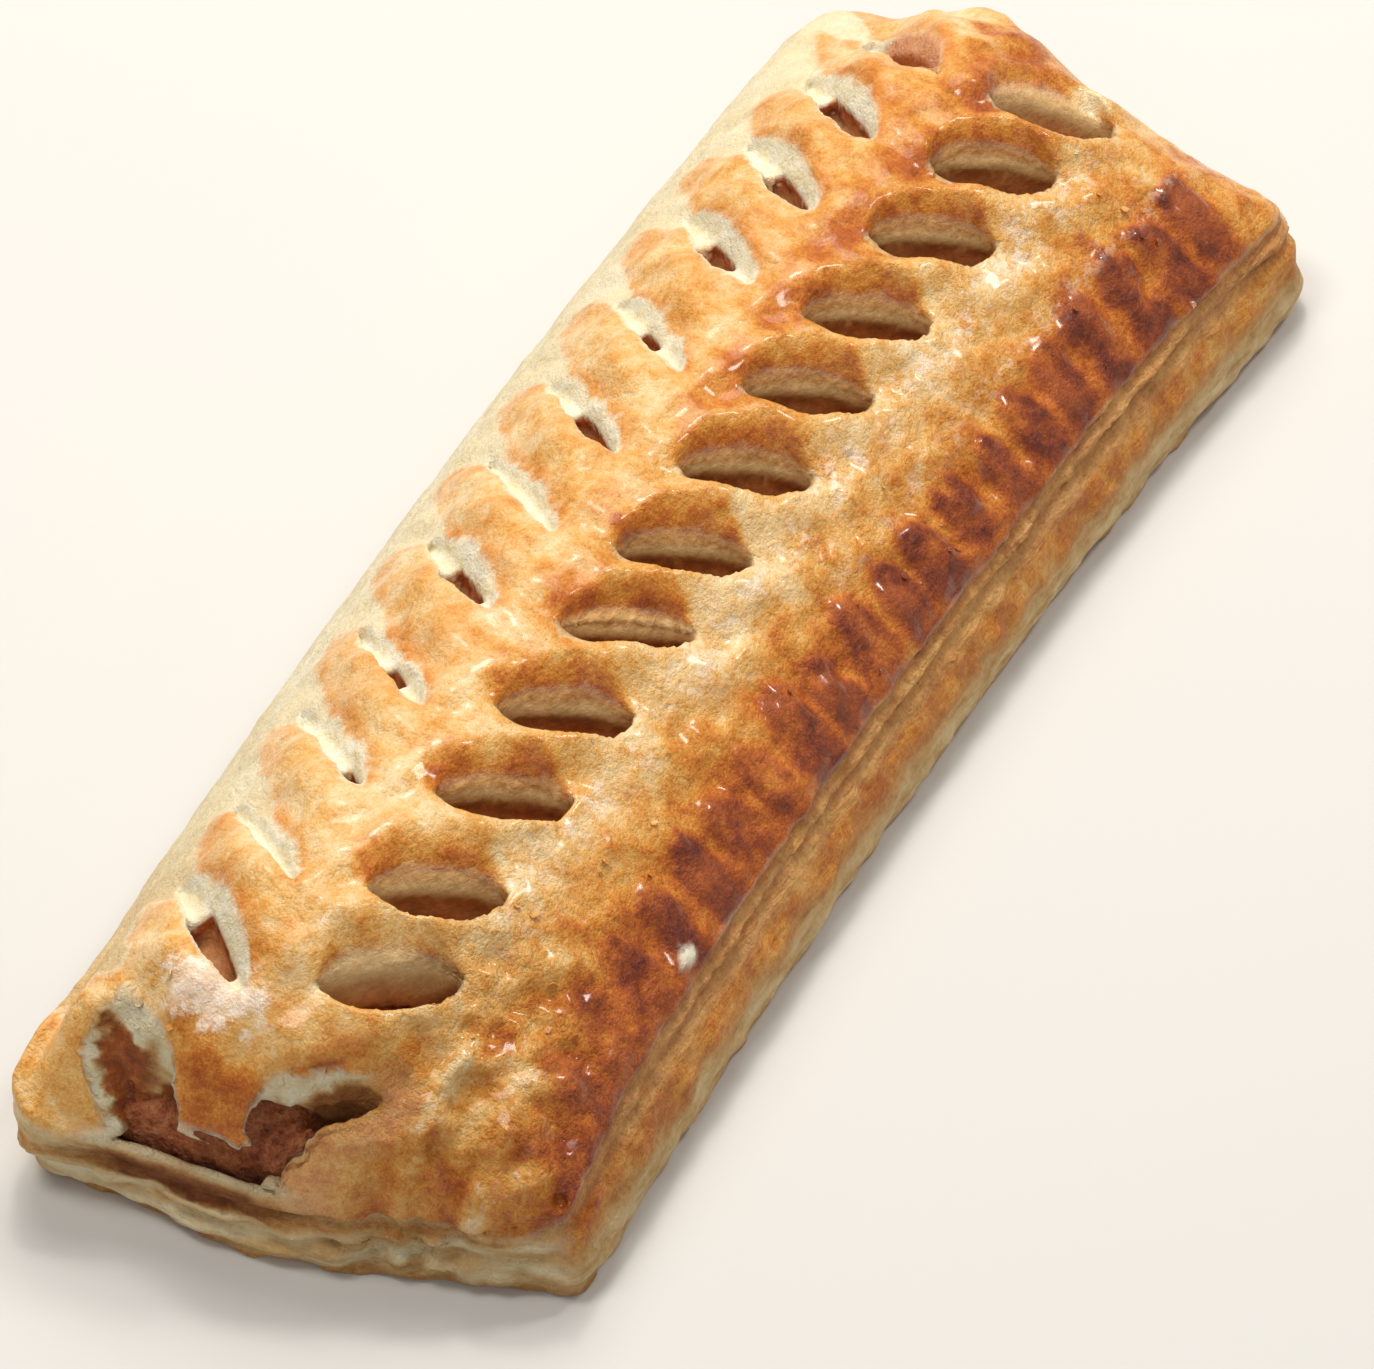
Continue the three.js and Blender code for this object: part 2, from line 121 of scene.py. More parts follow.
# The walls keep their shape down to the lip's depth, and below it stretch to the depth of the opening.
LIP_DEPTH = 1.3
TABLE_DEPTH = 6.0
HALF_WIDTH = {"crimp": 2.3, "fold": 1.4}
# How deep a slit on the folded slope is beside its hole and at it.
FOLD_SLIT_DEPTHS = (1.3, 3.6)
SLIT_WINDOW = 14.0
MEAT_SHOWS_FROM = 60.0

# ---- relief of the crust ----
STRIP_RISE = 0.9
STRIP_REACH = 6.0
# The crimps are blisters along the edge; past the last x they come two to a crimp.
CRIMP_PITCH = 6.43
CRIMP_X = 5.5
CRIMP_NUMBERS = range(-12, 10)
BLISTER = {"inset": 7.6, "long": 2.6, "wide": 3.3, "rise": 0.8}
DOUBLE_BLISTERS_FROM = 40.0
CRUST_WAVES = 0.35
# Single bumps and dips, as (x, y, width, rise).
CRUST_BUMPS = [
    (-75, 17, 8, 3.0), (-68.6, -23.8, 3.0, 3.6), (-64, -20, 5, 0.8), (-58, -25, 3, 1.0),
    (-40.7, -24.7, 0.8, 1.2), (80, 8, 6, 5), (76, -4, 6, 3.4), (66, 15, 6, -1.4), (71, -24, 8, 1.6),
]

# ---- filling ----
ROOF = 5.2
FLOOR = 5.2
FILLING_SIDES = (-17.0, 20.0)
END_INSET = {"near": 3.6, "far": 2.8}
FILLING_TAPER = 16.0
NEAR_MOUTH = (-5.0, 11.5)
FAR_MOUTH = (3.0, 17.0)
THINNEST_FILLING = 4.0
WAIST = 0.42
FILLING_POWER = 3.33
GAP = 0.3

# ---- burst end ----
# Outline of the tears seen from above, with the tongue between them.
NEAR_TEAR = [
    (-72.1, 13.4), (-74.3, 15.0), (-76.7, 15.7), (-78.2, 15.1), (-79.4, 13.5), (-80.2, 11.6),
    (-80.5, 9.6), (-79.8, 7.0), (-81.2, 6.6), (-90, 6.4), (-90, -3.6), (-79.6, -3.8), (-78.1, -5.0),
    (-76.5, -6.7), (-74.7, -8.1), (-72.1, -10.4), (-70.3, -11.4), (-69.7, -10.6), (-70.6, -7.4),
    (-72.3, -4.9), (-73.9, -2.4), (-74.9, -1.4), (-76.3, -0.9), (-77.0, -0.8), (-77.6, -1.8), (-78.0, -0.2),
    (-77.9, 1.4), (-78.2, 3.4), (-78.2, 5.1), (-77.2, 5.7), (-75.9, 6.3), (-74.2, 7.9), (-72.8, 10.5),
]
TEAR_FLOOR = 9.0
MOUTH_SKIN = 3.1
MEAT_BURST = 2.2
TEAR_MIDDLE = (-80, 2)
TEAR_WINDOW = 16.0
# Places round the tears whose walls differ, as (x, y, width).
UNDER_TONGUE = (-76.5, 2, 4.5)
CRUMBLY_WALL = (-73.8, 10.5, 3.2)
LOBE_WALL = (-77.5, 15, 5)
LAYERED_WALL = (-73, -5, 3.5)

# Grooves, cracks and pores, as (start, end, radius).
CREASES = [
    ((69.0, -29.1, 12.3), (60.6, -27.3, 12.6), 0.6), ((65.8, -31.1, 3.2), (65.9, -31.1, 3.3), 0.6),
    ((-73.4, -3.6, 19.2), (-70.8, -7.1, 19.9), 0.4), ((-2.4, -21.2, 15.2), (-3.9, -25.6, 12.4), 0.4),
    ((-71.5, -27.2, 9.6), (-68.2, -27.0, 10.2), 0.6), ((-20, 26.3, 11), (-8, 26.6, 12), 0.4),
    ((-41, 24.4, 12), (-34, 25.2, 11), 0.4), ((4, 26.8, 11.5), (17, 27.2, 10.6), 0.4),
]
CREASE_WINDOW = 9.0
# Spots of another colour, as (place, radius, what is painted there).
SPOTS = [
    # The first spot is painted shade: a dark patch in the hollow at the top of the left tear.
    ((-74.2, 14.3, 17.2), 1.4, {"dough": 1, "dough_tone": 1.1, "stain": 0.3}),
    ((-40.7, -24.7, 13.2), 1.0, {"dough": 1, "dough_tone": 0.08, "gloss": 0}),
    ((-68.9, -24.6, 12.5), 2.0, {"bake_tone": 0.38}),
    ((-66.3, -26.2, 13.2), 1.5, {"bake_tone": 0.64}),
    ((-70.7, -29.5, 8.3), 1.6, {"dough": 1, "dough_tone": 0.05}),
    ((-69.4, -30.5, 6.1), 1.3, {"dough": 0, "bake_tone": 0.5}),
    ((-69.7, -27.3, 10.0), 1.3, {"bake_tone": 0.62, "dough": 0}),
    ((57.2, -2.9, 26.6), 1.4, {"bake_tone": 0.66}),
    ((69.7, 1.8, 23.7), 2.4, {"bake_tone": 0.52}),
    ((68, -8.8, 20.5), 2.0, {"bake_tone": 0.14}),
]

# ---- meshes ----
VOXEL = 0.45
GRID_MARGIN = 2.5
MOST_TRIANGLES = {"pastry": 190_000, "filling": 60_000}
# The crust is pressed down softly over this last stretch below the top of the solids.
TOP_ROOM = 0.8


# ======== small helpers
def smooth(t):
    t = np.clip(t, 0, 1)
    return t * t * (3 - 2 * t)


def fade(t, start, end):
    """From 0 to 1 as t runs from start to end."""
    return smooth((t - start) / (end - start))


def mix(a, b, t):
    return a + (b - a) * t


def hump(d, width):
    return np.exp(-((d / width) ** 2))


def patch(x, y, place):
    """1 in the middle of a round patch, given as (x, y, width)."""
    return hump(np.hypot(x - place[0], y - place[1]), place[2])


def smooth_max(a, b, radius):
    """The larger of two fields, with the edge between them rounded."""
    h = np.clip(0.5 + 0.5 * (a - b) / radius, 0, 1)
    return mix(b, a, h) + radius * h * (1 - h)


def along_table(table, t):
    return np.interp(t, *zip(*table))


def cell_value(i, j, k, seed):
    """A steady random number from -1 to 1 for each cell of a lattice."""
    mixed = (i.astype(np.uint32) * np.uint32(374761393)) ^ (j.astype(np.uint32) * np.uint32(668265263))
    mixed ^= (k.astype(np.uint32) * np.uint32(2147483647)) ^ np.uint32(seed * 1274126177 & 0xFFFFFFFF)
    mixed = (mixed ^ (mixed >> np.uint32(13))) * np.uint32(1274126177)
    mixed ^= mixed >> np.uint32(16)
    return mixed.astype(np.float32) / np.float32(2**31) - 1


def noise(x, y, z, size, seed=0):
    """Smooth noise from -1 to 1 with lumps of about that size."""
    x, y, z = np.broadcast_arrays(*[np.asarray(c, np.float32) / size for c in (x, y, z)])
    corners = [np.floor(c).astype(np.int64) for c in (x, y, z)]
    shares = [smooth(c - f) for c, f in zip((x, y, z), corners)]
    total = 0
    for steps in itertools.product((0, 1), repeat=3):
        weight = math.prod(share if step else 1 - share for share, step in zip(shares, steps))
        cell = [corner + step for corner, step in zip(corners, steps)]
        total = total + weight * cell_value(*cell, SEED + seed)
    return total


# ======== form of the roll
def fold_line(x):
    return FOLD_SIDE + FOLD_SPLAY * x - FOLD_BOW * x * x


def crimp_line(x):
    return -(CRIMP_SIDE + CRIMP_BOW * (x - 2.5) ** 2 + FAR_FLARE * fade(x, 45, 67))


def far_line(y):
    return FAR_END + FAR_SKEW * y + FAR_LOBE["reach"] * hump(y - FAR_LOBE["y"], FAR_LOBE["width"])


def near_line(y):
    past = NEAR_CUT["y"] - y
    lobe = NEAR_LOBE["reach"] * hump(y - NEAR_LOBE["y"], NEAR_LOBE["width"])
    return NEAR_END - lobe + NEAR_CUT["slope"] * (past + np.hypot(past, NEAR_CUT["turn"])) / 2


def side_gaps(x, y):
    """How far in a place lies from each side of the plan."""
    return {
        "fold": fold_line(x) - y,
        "crimp": y - crimp_line(x),
        "near": x - near_line(y),
        "far": far_line(y) - x,
    }


def side_shares(gaps):
    """How much each side has to say at a place; the four come to 1."""
    weights = {side: np.exp(-np.maximum(gap, 0) / SIDE_BLEND) for side, gap in gaps.items()}
    total = sum(weights.values())
    return {side: weight / total for side, weight in weights.items()}


def inside_plan(gaps):
    """How far inside the plan a place lies, with the corners rounded."""
    inside = np.minimum(np.minimum(gaps["fold"], gaps["crimp"]), np.minimum(gaps["near"], gaps["far"]))
    for (end, side), radius in CORNERS.items():
        a = radius - gaps[end]
        b = radius - gaps[side]
        inside = np.where((a > 0) & (b > 0), radius - np.hypot(a, b), inside)
    return inside


def crest_line(x):
    return CREST_Y - BOW * x * x


def row_y(row, x):
    return row["y"] - BOW * x * x


def slit_phase(x, y, row):
    """How many slits from the first of a row a place is."""
    return (x - row["first_x"] - row["slant"] * (y - row_y(row, x))) / row["pitch"]


def slope(out, kind):
    """Height left, from 1 to 0, as a slope runs from its top to its rim."""
    bulge, ease = SLOPES[kind]
    return (1 - out**bulge) ** ease


def rim_row(shares, row):
    """Inset and height of one row of the rims."""
    return [sum(shares[side] * RIMS[side][part][row] for side in RIMS) for part in (0, 1)]


def crust_heights(x, y):
    """Height of the crust without and with its relief."""
    x, y = np.broadcast_arrays(np.asarray(x, float), np.asarray(y, float))
    shares = side_shares(side_gaps(x, y))
    inset, rim = rim_row(shares, 0)
    crest = crest_line(x)
    is_fold = y > crest
    edge = np.where(is_fold, fold_line(x) - inset, crimp_line(x) + inset)
    out = np.clip((y - crest) / (edge - crest), 0, 1)
    side = np.where(is_fold, slope(out, "fold"), slope(out, "crimp"))
    far_slope = mix(END_SLOPE, FAR_FOLD_SLOPE, smooth(y / 15))
    near_rise = np.clip((x - near_line(y) - inset) / END_SLOPE, 0, 1)
    far_rise = np.clip((far_line(y) - x - inset) / far_slope, 0, 1)
    ends = slope(1 - near_rise, "end") * slope(1 - far_rise, "end")
    plain = rim + (CREST_HEIGHT - rim) * side * ends
    inside = smooth(4 * np.minimum(near_rise, far_rise)) * smooth(np.abs(edge - y) / 3)
    for *bump, rise in CRUST_BUMPS:
        plain = plain + rise * inside * patch(x, y, bump)
    return plain, plain + inside * crust_relief(x, y, is_fold)


def strips(x, y, row, lag=0.0):
    """1 on each slit of a row, and -1 midway between two."""
    return np.cos(2 * np.pi * (slit_phase(x, y, row) - lag))


def crust_relief(x, y, is_fold):
    """Soft waves, strips standing up between the slits, blisters and the dip along them."""
    relief = CRUST_WAVES * np.sin(0.83 * x + 0.5 * y) * np.sin(0.37 * x - 0.71 * y + 1)
    for row, here, lag in ((FOLD_ROW, is_fold, 0.0), (CRIMP_ROW, ~is_fold, 0.1)):
        rise = strips(x, y, row, lag) * hump(y - row_y(row, x), STRIP_REACH)
        relief = relief - STRIP_RISE * np.where(here, rise, 0)
    gather = 0.5 * hump(y - crimp_line(x) - BLISTER["inset"], 4.5)
    return relief + blister_maps(x, y)[0] - gather


def wrinkles(x, y):
    """Long soft creases of the crust beside the burst end, from trough to crest."""
    where = fade(x, -38, -63) * fade(y, -8, -13) * smooth((y - crimp_line(x) - 4) / 3)
    along = 0.9 * x - 0.43 * y
    across = 0.43 * x + 0.9 * y
    broad = 0.75 * noise(along / 2.6, across, 0, 2.0, 53)
    narrow = 0.35 * noise(along / 1.5, across, 0, 1.0, 54)
    return where * (broad + narrow)


def blisters():
    """Each blister as (x, distance in from the edge, half length, half width, rise, how toasted)."""
    made = []
    for k in CRIMP_NUMBERS:
        x = CRIMP_X + k * CRIMP_PITCH
        random = [float(cell_value(*np.array([k, part, 9]), SEED)) for part in range(5)]
        plump = float(mix(0.3, 1, fade(x, -50, -15)))
        toast = float(mix(0.09, 0.34, fade(x, -62, -2)) + 0.1 * fade(x, 35, 50)) + 0.1 * random[3]
        long = BLISTER["long"] + 0.3 * random[1]
        rise = BLISTER["rise"] * plump * (1 + 0.25 * random[4])
        x += 0.5 * random[0]
        inset = BLISTER["inset"] + 0.5 * random[2]
        if x > DOUBLE_BLISTERS_FROM:
            made.append((x + 0.3, inset + 1.7, long, 2.5, rise, toast))
            made.append((x - 0.2, inset - 1.7, long * 0.9, 2.1, rise * 0.8, toast * 0.9))
        else:
            made.append((x, inset, long, BLISTER["wide"] + 0.5 * random[3], rise, toast))
    return made


BLISTERS = blisters()


def blister_maps(x, y):
    """Rise of the blisters, and how toasted they are."""
    rise = 0 * x
    toast = 0 * x
    edge = y - crimp_line(x)
    for middle, inset, long, wide, height, brown in BLISTERS:
        near = np.abs(x - middle) < 2 * long
        away = np.hypot((x[near] - middle) / long, (edge[near] - inset) / wide)
        away = away + 0.22 * noise(x[near], y[near], 0, 2.3, 60)
        rise[near] = np.maximum(rise[near], height * np.sqrt(np.clip(1 - away**2, 0, 1)))
        toast[near] = np.maximum(toast[near], brown * fade(away, 1.35, 0.65))
    return rise, toast


def rim_rows(x, y, gaps):
    """Inset and height of each row of the rims, at each place of the plan."""
    shares = side_shares(gaps)
    corner = 4 * shares["near"] * shares["fold"]
    cut = 1 - shares["fold"]
    rows = []
    for row in range(len(RIMS["fold"][0])):
        inset, height = rim_row(shares, row)
        if row > 0:
            inset = inset + cut * 0.35 * (1 + noise(x, y, 3.0 * row, 2.2, 11))
            inset = mix(inset, 1.3, shares["near"] * hump((y - 3.5) / 8, 1.0) * (1 if row < 5 else 0))
        inset = inset + LOBE_OVERHANG["tuck"] * corner * (1 - height / LOBE_OVERHANG["height"])
        rows.append((inset, height))
    return rows


def filling_shape(x, y, crust):
    """Middle, half width, waist and reach up and down of the filling, at each place of the plan."""
    start = near_line(y) + END_INSET["near"]
    end = far_line(y) - END_INSET["far"]
    share = np.clip((x - start) / (end - start), 0, 1)
    length = FAR_END - NEAR_END
    near = smooth(share * length / FILLING_TAPER)
    far = smooth((1 - share) * length / FILLING_TAPER)
    low, high = [mix(NEAR_MOUTH[s], mix(FAR_MOUTH[s], FILLING_SIDES[s], far), near) for s in (0, 1)]
    top = np.maximum(crust - ROOF, FLOOR + THINNEST_FILLING)
    waist = mix(FLOOR, top, WAIST)
    return (low + high) / 2, (high - low) / 2, waist, top - waist, waist - FLOOR, start, end


# ======== slits
def make_slit(row, kind, k, shift, half_width, **more):
    x = row["first_x"] + k * row["pitch"] + shift
    length = math.hypot(row["slant"], 1)
    along = np.array([abs(row["slant"]), math.copysign(1, row["slant"])]) / length
    half_length = row["half_length"] * (1.0 if kind == "crimp" else 1.12)
    scale = half_width / HALF_WIDTH[kind]
    return dict(kind=kind, x=x, y=row_y(row, x), along=along, half_length=half_length, scale=scale, **more)


SLITS = [
    make_slit(CRIMP_ROW, "crimp", k, shift, width, depth=depth, shade=CRIMP_SHADES.get(k, 1.0))
    for k, (shift, width, depth) in enumerate(CRIMP_SLITS)
] + [
    make_slit(FOLD_ROW, "fold", k, shift, width, hole=(start, end))
    for k, (shift, width, start, end) in enumerate(FOLD_SLITS)
]


def slit_place(slit, x, y):
    """Distance along and across a slit, and how open it is there, from 0 at its tips to 1."""
    dx = x - slit["x"]
    dy = y - slit["y"]
    along_x, along_y = slit["along"]
    u = (dx * along_x + dy * along_y) / slit["half_length"]
    v = dy * along_x - dx * along_y
    return u, v, np.sqrt(np.clip(1 - u * u, 0, 1)) ** 1.25


def crimp_slit_width(slit, u):
    """How wide a slit on the crimped slope is along its length, beside the usual slit."""
    return slit["scale"] * np.clip(1 - np.abs(u) ** 2.8, 0.0004, 1) ** 0.75


def slit_opening(slit, x, y, depth):
    """A field that is negative in the opening of a slit."""
    u, v, opening = slit_place(slit, x, y)
    if slit["kind"] == "crimp":
        wander = 0.08 * noise(x, y, 0, 2.6, 21)
        open_here = crimp_slit_width(slit, u)
        t = np.maximum(depth - LIP_DEPTH, 0) * (TABLE_DEPTH - LIP_DEPTH) / (slit["depth"] - LIP_DEPTH)
        t = np.minimum(depth, LIP_DEPTH) + t / mix(0.45, 1, open_here)
        low = CRIMP_SLIT_TIP + open_here * along_table(CRIMP_SLIT_LIP, t)
        high = CRIMP_SLIT_TIP + open_here * along_table(CRIMP_SLIT_ROLL, t)
    else:
        wander = 0.12 * noise(x, y, depth * 0.6, 1.6, 22)
        width = HALF_WIDTH["fold"] * np.maximum(opening, 0.02)
        start, end = slit["hole"]
        hole = smooth((u - start) / 0.12 + 0.5) * smooth((end - u) / 0.12 + 0.5)
        hole = hole if end > start else 0 * hole
        lip = slit["scale"] * mix(1, 0.8, 1 - hole)
        low = width * along_table(FOLD_SLIT_FACE, depth) * mix(1, 0.85, hole) * math.sqrt(slit["scale"])
        high = width * along_table(FOLD_SLIT_LIP, depth) * lip
        floor = mix(*FOLD_SLIT_DEPTHS, hole)
        high = high - 3 * np.maximum(depth - floor, 0)
    middle = np.maximum(low - v, v - high) + wander
    return np.maximum(middle, (np.abs(u) - 1) * slit["half_length"])


def polygon_distance(x, y, outline):
    """Distance to an outline, negative inside."""
    nearest = np.full(np.broadcast(x, y).shape, 1e9)
    inside = np.zeros(nearest.shape, bool)
    for (ax, ay), (bx, by) in zip(outline, outline[1:] + outline[:1]):
        ex, ey = bx - ax, by - ay
        share = np.clip(((x - ax) * ex + (y - ay) * ey) / (ex * ex + ey * ey), 0, 1)
        nearest = np.minimum(nearest, np.hypot(x - ax - share * ex, y - ay - share * ey))
        crosses = (ay > y) != (by > y)
        if ey:
            inside ^= crosses & (x < ax + (y - ay) * ex / ey)
    return np.where(inside, -nearest, nearest)


def tear_opening(x, y, z, depth):
    """A field that is negative where the near end has burst open."""
    edge = polygon_distance(x, y, NEAR_TEAR)
    crumbly = patch(x, y, CRUMBLY_WALL)
    layered = patch(x, y, LAYERED_WALL)
    walls = 0.2 * np.clip(depth, 0, 5) + 0.85 * crumbly * np.clip(depth, 0, 5)
    walls = walls + patch(x, y, LOBE_WALL) * np.clip(depth, 0, 2.3) + 0.8 * layered * np.clip(depth, 0, 1.6)
    walls = walls - 1.6 * patch(x, y, UNDER_TONGUE) * np.clip(depth - 1.0, 0, 3)
    walls = walls - layered * np.clip(depth - 2.6, 0, 2)
    torn = 0.25 * noise(x, y, z, 1.6, 31) + (0.2 + 0.5 * crumbly) * noise(x, y, z, 0.9, 33)
    edge = edge + walls + torn + 0.5 * layered * fade(depth, 1.2, 2.2) * noise(x, y, z, 0.8, 34)
    return np.maximum(edge, TEAR_FLOOR - z + 0.5 * noise(x, y, z, 1.8, 32))


def mouth_skin(x, y, z):
    """A field that is positive in the thin torn skin left across the mouth of the burst end."""
    return np.minimum(near_line(y) + MOUTH_SKIN - x, TEAR_FLOOR - z)


# ======== solid fields and their meshes
def voxel_axes():
    low, high = [[c / MM for c in corner] for corner in cad_box]
    return [
        np.arange(start - GRID_MARGIN, end + GRID_MARGIN, VOXEL, dtype=np.float32)
        for start, end in zip(low, high)
    ]


AXES = voxel_axes()
GRID_X = AXES[0][:, None, None]
GRID_Y = AXES[1][None, :, None]
GRID_Z = AXES[2][None, None, :]
GRID = (GRID_X, GRID_Y, GRID_Z)
PLAIN, CRUST = [
    height[:, :, None].astype(np.float32) for height in crust_heights(GRID_X[:, :, 0], GRID_Y[:, :, 0])
]


def carve(field, middle, reach, opening, rounding):
    """Takes an opening out of a field, in the part of the grid round a place."""
    across, along = [
        slice(*np.searchsorted(axis, (place - reach, place + reach))) for axis, place in zip(AXES, middle)
    ]
    depth = PLAIN[across, along] - GRID_Z
    cut = -opening(GRID_X[across], GRID_Y[:, along], GRID_Z, depth).astype(np.float32)
    field[across, along] = smooth_max(field[across, along], cut, rounding)


def outer_field():
    """Negative inside the roll, with its slits and filling not yet taken out."""
    x, y = GRID_X[:, :, 0], GRID_Y[:, :, 0]
    gaps = side_gaps(x, y)
    rows = rim_rows(x, y, gaps)
    inside = inside_plan(gaps).astype(np.float32)[:, :, None]
    inset = np.broadcast_to(rows[0][0][:, :, None], inside.shape[:2] + (len(AXES[2]),)).astype(np.float32)
    for (upper_in, upper_z), (lower_in, lower_z) in zip(rows, rows[1:]):
        upper_in, upper_z, lower_in, lower_z = [
            np.asarray(c, np.float32)[:, :, None] for c in (upper_in, upper_z, lower_in, lower_z)
        ]
        share = np.clip((upper_z - GRID_Z) / (upper_z - lower_z), 0, 1)
        inset = np.where(GRID_Z < upper_z, mix(upper_in, lower_in, share), inset)
    fall_x, fall_y = np.gradient(CRUST[:, :, 0], VOXEL)
    steep = np.sqrt(1 + fall_x**2 + fall_y**2)[:, :, None].astype(np.float32)
    top = (GRID_Z - CRUST) / np.minimum(steep, 3)
    shares = side_shares(gaps)
    ragged = (0.8 * shares["near"] + 0.22 * shares["crimp"] + 0.25 * shares["far"])[:, :, None]
    low = fade(GRID_Z, 7.5, 5.5)
    layers = noise(0.6 * GRID_X, 0.6 * GRID_Y, 1.6 * GRID_Z, 1.4, 36) * low
    inset = inset + (ragged * (0.7 + layers)).astype(np.float32) * low.astype(np.float32)
    return smooth_max(smooth_max(top, inset - inside, 0.7), -GRID_Z, 0.4)


def filling_field(lumpy):
    """Negative inside the filling, which runs on past both ends; lumpy roughens its skin."""
    x, y = GRID_X[:, :, 0], GRID_Y[:, :, 0]
    middle, half, waist, up, down, start, end = [
        c[:, :, None] if np.ndim(c) == 2 else c for c in filling_shape(x, y, PLAIN[:, :, 0])
    ]
    across = (GRID_Y - middle) / half
    rise = np.where(GRID_Z > waist, (GRID_Z - waist) / up, (waist - GRID_Z) / down)
    ring = (np.abs(across) ** 2 + np.abs(rise) ** FILLING_POWER) ** 0.4
    field = ((ring - 1) * np.minimum(half, up)).astype(np.float32)
    if lumpy:
        torn = smooth(-polygon_distance(x, y, NEAR_TEAR) / 2.5)[:, :, None]
        burst = torn * smooth((GRID_Z - waist) / 2)
        lumps = 1 + 0.6 * noise(*GRID, 2.2, 8) + 0.4 * noise(*GRID, 0.9, 9)
        field = field - (MEAT_BURST * burst * lumps).astype(np.float32)
        field = field + 0.25 + 0.3 * noise(*GRID, 2.0, 5) + 0.2 * noise(*GRID, 1.0, 7)
        ends = np.maximum(start - GRID_X, GRID_X - end).astype(np.float32)
        field = smooth_max(field, ends + 0.4 * noise(GRID_X * 0, GRID_Y, GRID_Z, 2.0, 6), 0.8)
    return field


def segment_distance(x, y, z, start, end):
    step = [b - a for a, b in zip(start, end)]
    share = sum((c - a) * d for c, a, d in zip((x, y, z), start, step)) / sum(d * d for d in step)
    share = np.clip(share, 0, 1)
    return np.sqrt(sum((c - a - share * d) ** 2 for c, a, d in zip((x, y, z), start, step)))


def slit_carver(slit):
    return lambda x, y, z, depth: slit_opening(slit, x, y, depth)


def crease_carver(start, end, radius):
    def groove(x, y, z, depth):
        return segment_distance(x, y, z, start, end) - (radius + 0.2 * noise(x, y, z, 1.5, 35))

    return groove


def pastry_field():
    """Negative inside the case."""
    cavity = np.maximum(filling_field(False), mouth_skin(GRID_X, GRID_Y, GRID_Z).astype(np.float32))
    field = smooth_max(outer_field(), GAP - cavity, 0.5)
    for slit in SLITS:
        carve(field, (slit["x"], slit["y"]), SLIT_WINDOW, slit_carver(slit), 0.35)
    for start, end, radius in CREASES:
        middle = [(a + b) / 2 for a, b in zip(start[:2], end[:2])]
        carve(field, middle, CREASE_WINDOW, crease_carver(start, end, radius), 0.3)
    carve(field, TEAR_MIDDLE, TEAR_WINDOW, tear_opening, 0.3)
    return field


def mesh_of_field(name, field):
    """A mesh, in millimetres, of where a field on the grid is negative."""
    grid = openvdb.FloatGrid(3 * VOXEL)
    grid.copyFromArray(np.clip(field, -3 * VOXEL, 3 * VOXEL).astype(np.float32))
    grid.transform = openvdb.createLinearTransform(voxelSize=VOXEL)
    points, triangles, quads = grid.convertToPolygons(isovalue=0.0, adaptivity=0.0)
    points = points + np.array([axis[0] for axis in AXES], np.float32)
    faces = [*map(list, triangles), *map(list, quads)]
    mesh = bpy.data.meshes.new(name)
    mesh.from_pydata(points.tolist(), [], faces)
    mesh.validate()
    return mesh


def vertex_vectors(mesh, name="co"):
    """The places of a mesh's vertices, or with "normal" the ways they face."""
    vectors = np.empty(len(mesh.vertices) * 3, np.float32)
    mesh.vertices.foreach_get(name, vectors)
    return vectors.reshape(-1, 3)


def move_vertices(mesh, places):
    mesh.vertices.foreach_set("co", places.astype(np.float32).ravel())
    mesh.update()


def face_outwards(mesh):
    """Turns the faces round if the closed mesh is inside out."""
    places = vertex_vectors(mesh)
    mesh.calc_loop_triangles()
    corners = np.empty(len(mesh.loop_triangles) * 3, np.int32)
    mesh.loop_triangles.foreach_get("vertices", corners)
    a, b, c = places[corners.reshape(-1, 3)].transpose(1, 0, 2)
    if np.einsum("ij,ij->i", a, np.cross(b, c)).sum() < 0:
        mesh.flip_normals()


def new_object(name, data):
    thing = bpy.data.objects.new(name, data)
    bpy.context.collection.objects.link(thing)
    return thing


def evaluated_mesh(thing):
    graph = bpy.context.evaluated_depsgraph_get()
    return bpy.data.meshes.new_from_object(thing.evaluated_get(graph))


def thinned(mesh, most):
    """The mesh with no more than so many triangles, fewest where it is smooth."""
    mesh.calc_loop_triangles()
    count = len(mesh.loop_triangles)
    if count <= most:
        return mesh
    piece = new_object("thinning", mesh)
    piece.modifiers.new("thin", "DECIMATE").ratio = most / count
    result = evaluated_mesh(piece)
    bpy.data.objects.remove(piece)
    return result


def add_attribute(mesh, name, values):
    attribute = mesh.attributes.new(name, "FLOAT", "POINT")
    attribute.data.foreach_set("value", np.asarray(values, np.float32).ravel())


def finish_piece(name, mesh, material):
    """Scales a mesh from millimetres and makes it a piece of the roll."""
    move_vertices(mesh, vertex_vectors(mesh) * MM)
    mesh.polygons.foreach_set("use_smooth", [True] * len(mesh.polygons))
    mesh.materials.clear()
    mesh.materials.append(material)
    mesh.name = name
    piece = new_object(name, mesh)
    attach(piece, "root")
    return piece


# ======== what the surface is like at each place
# Tones and masks at each vertex, which the pastry's material reads. The sheen mask holds painted
# highlights.
SURFACE = ("bake_tone", "dough", "dough_tone", "sheen", "stain", "blush", "gloss", "layered", "relief")
MIDDLE_TONE = 0.24
DARKEST_TONE = 0.8
MOST_PAINTED_SHEEN = 1.8
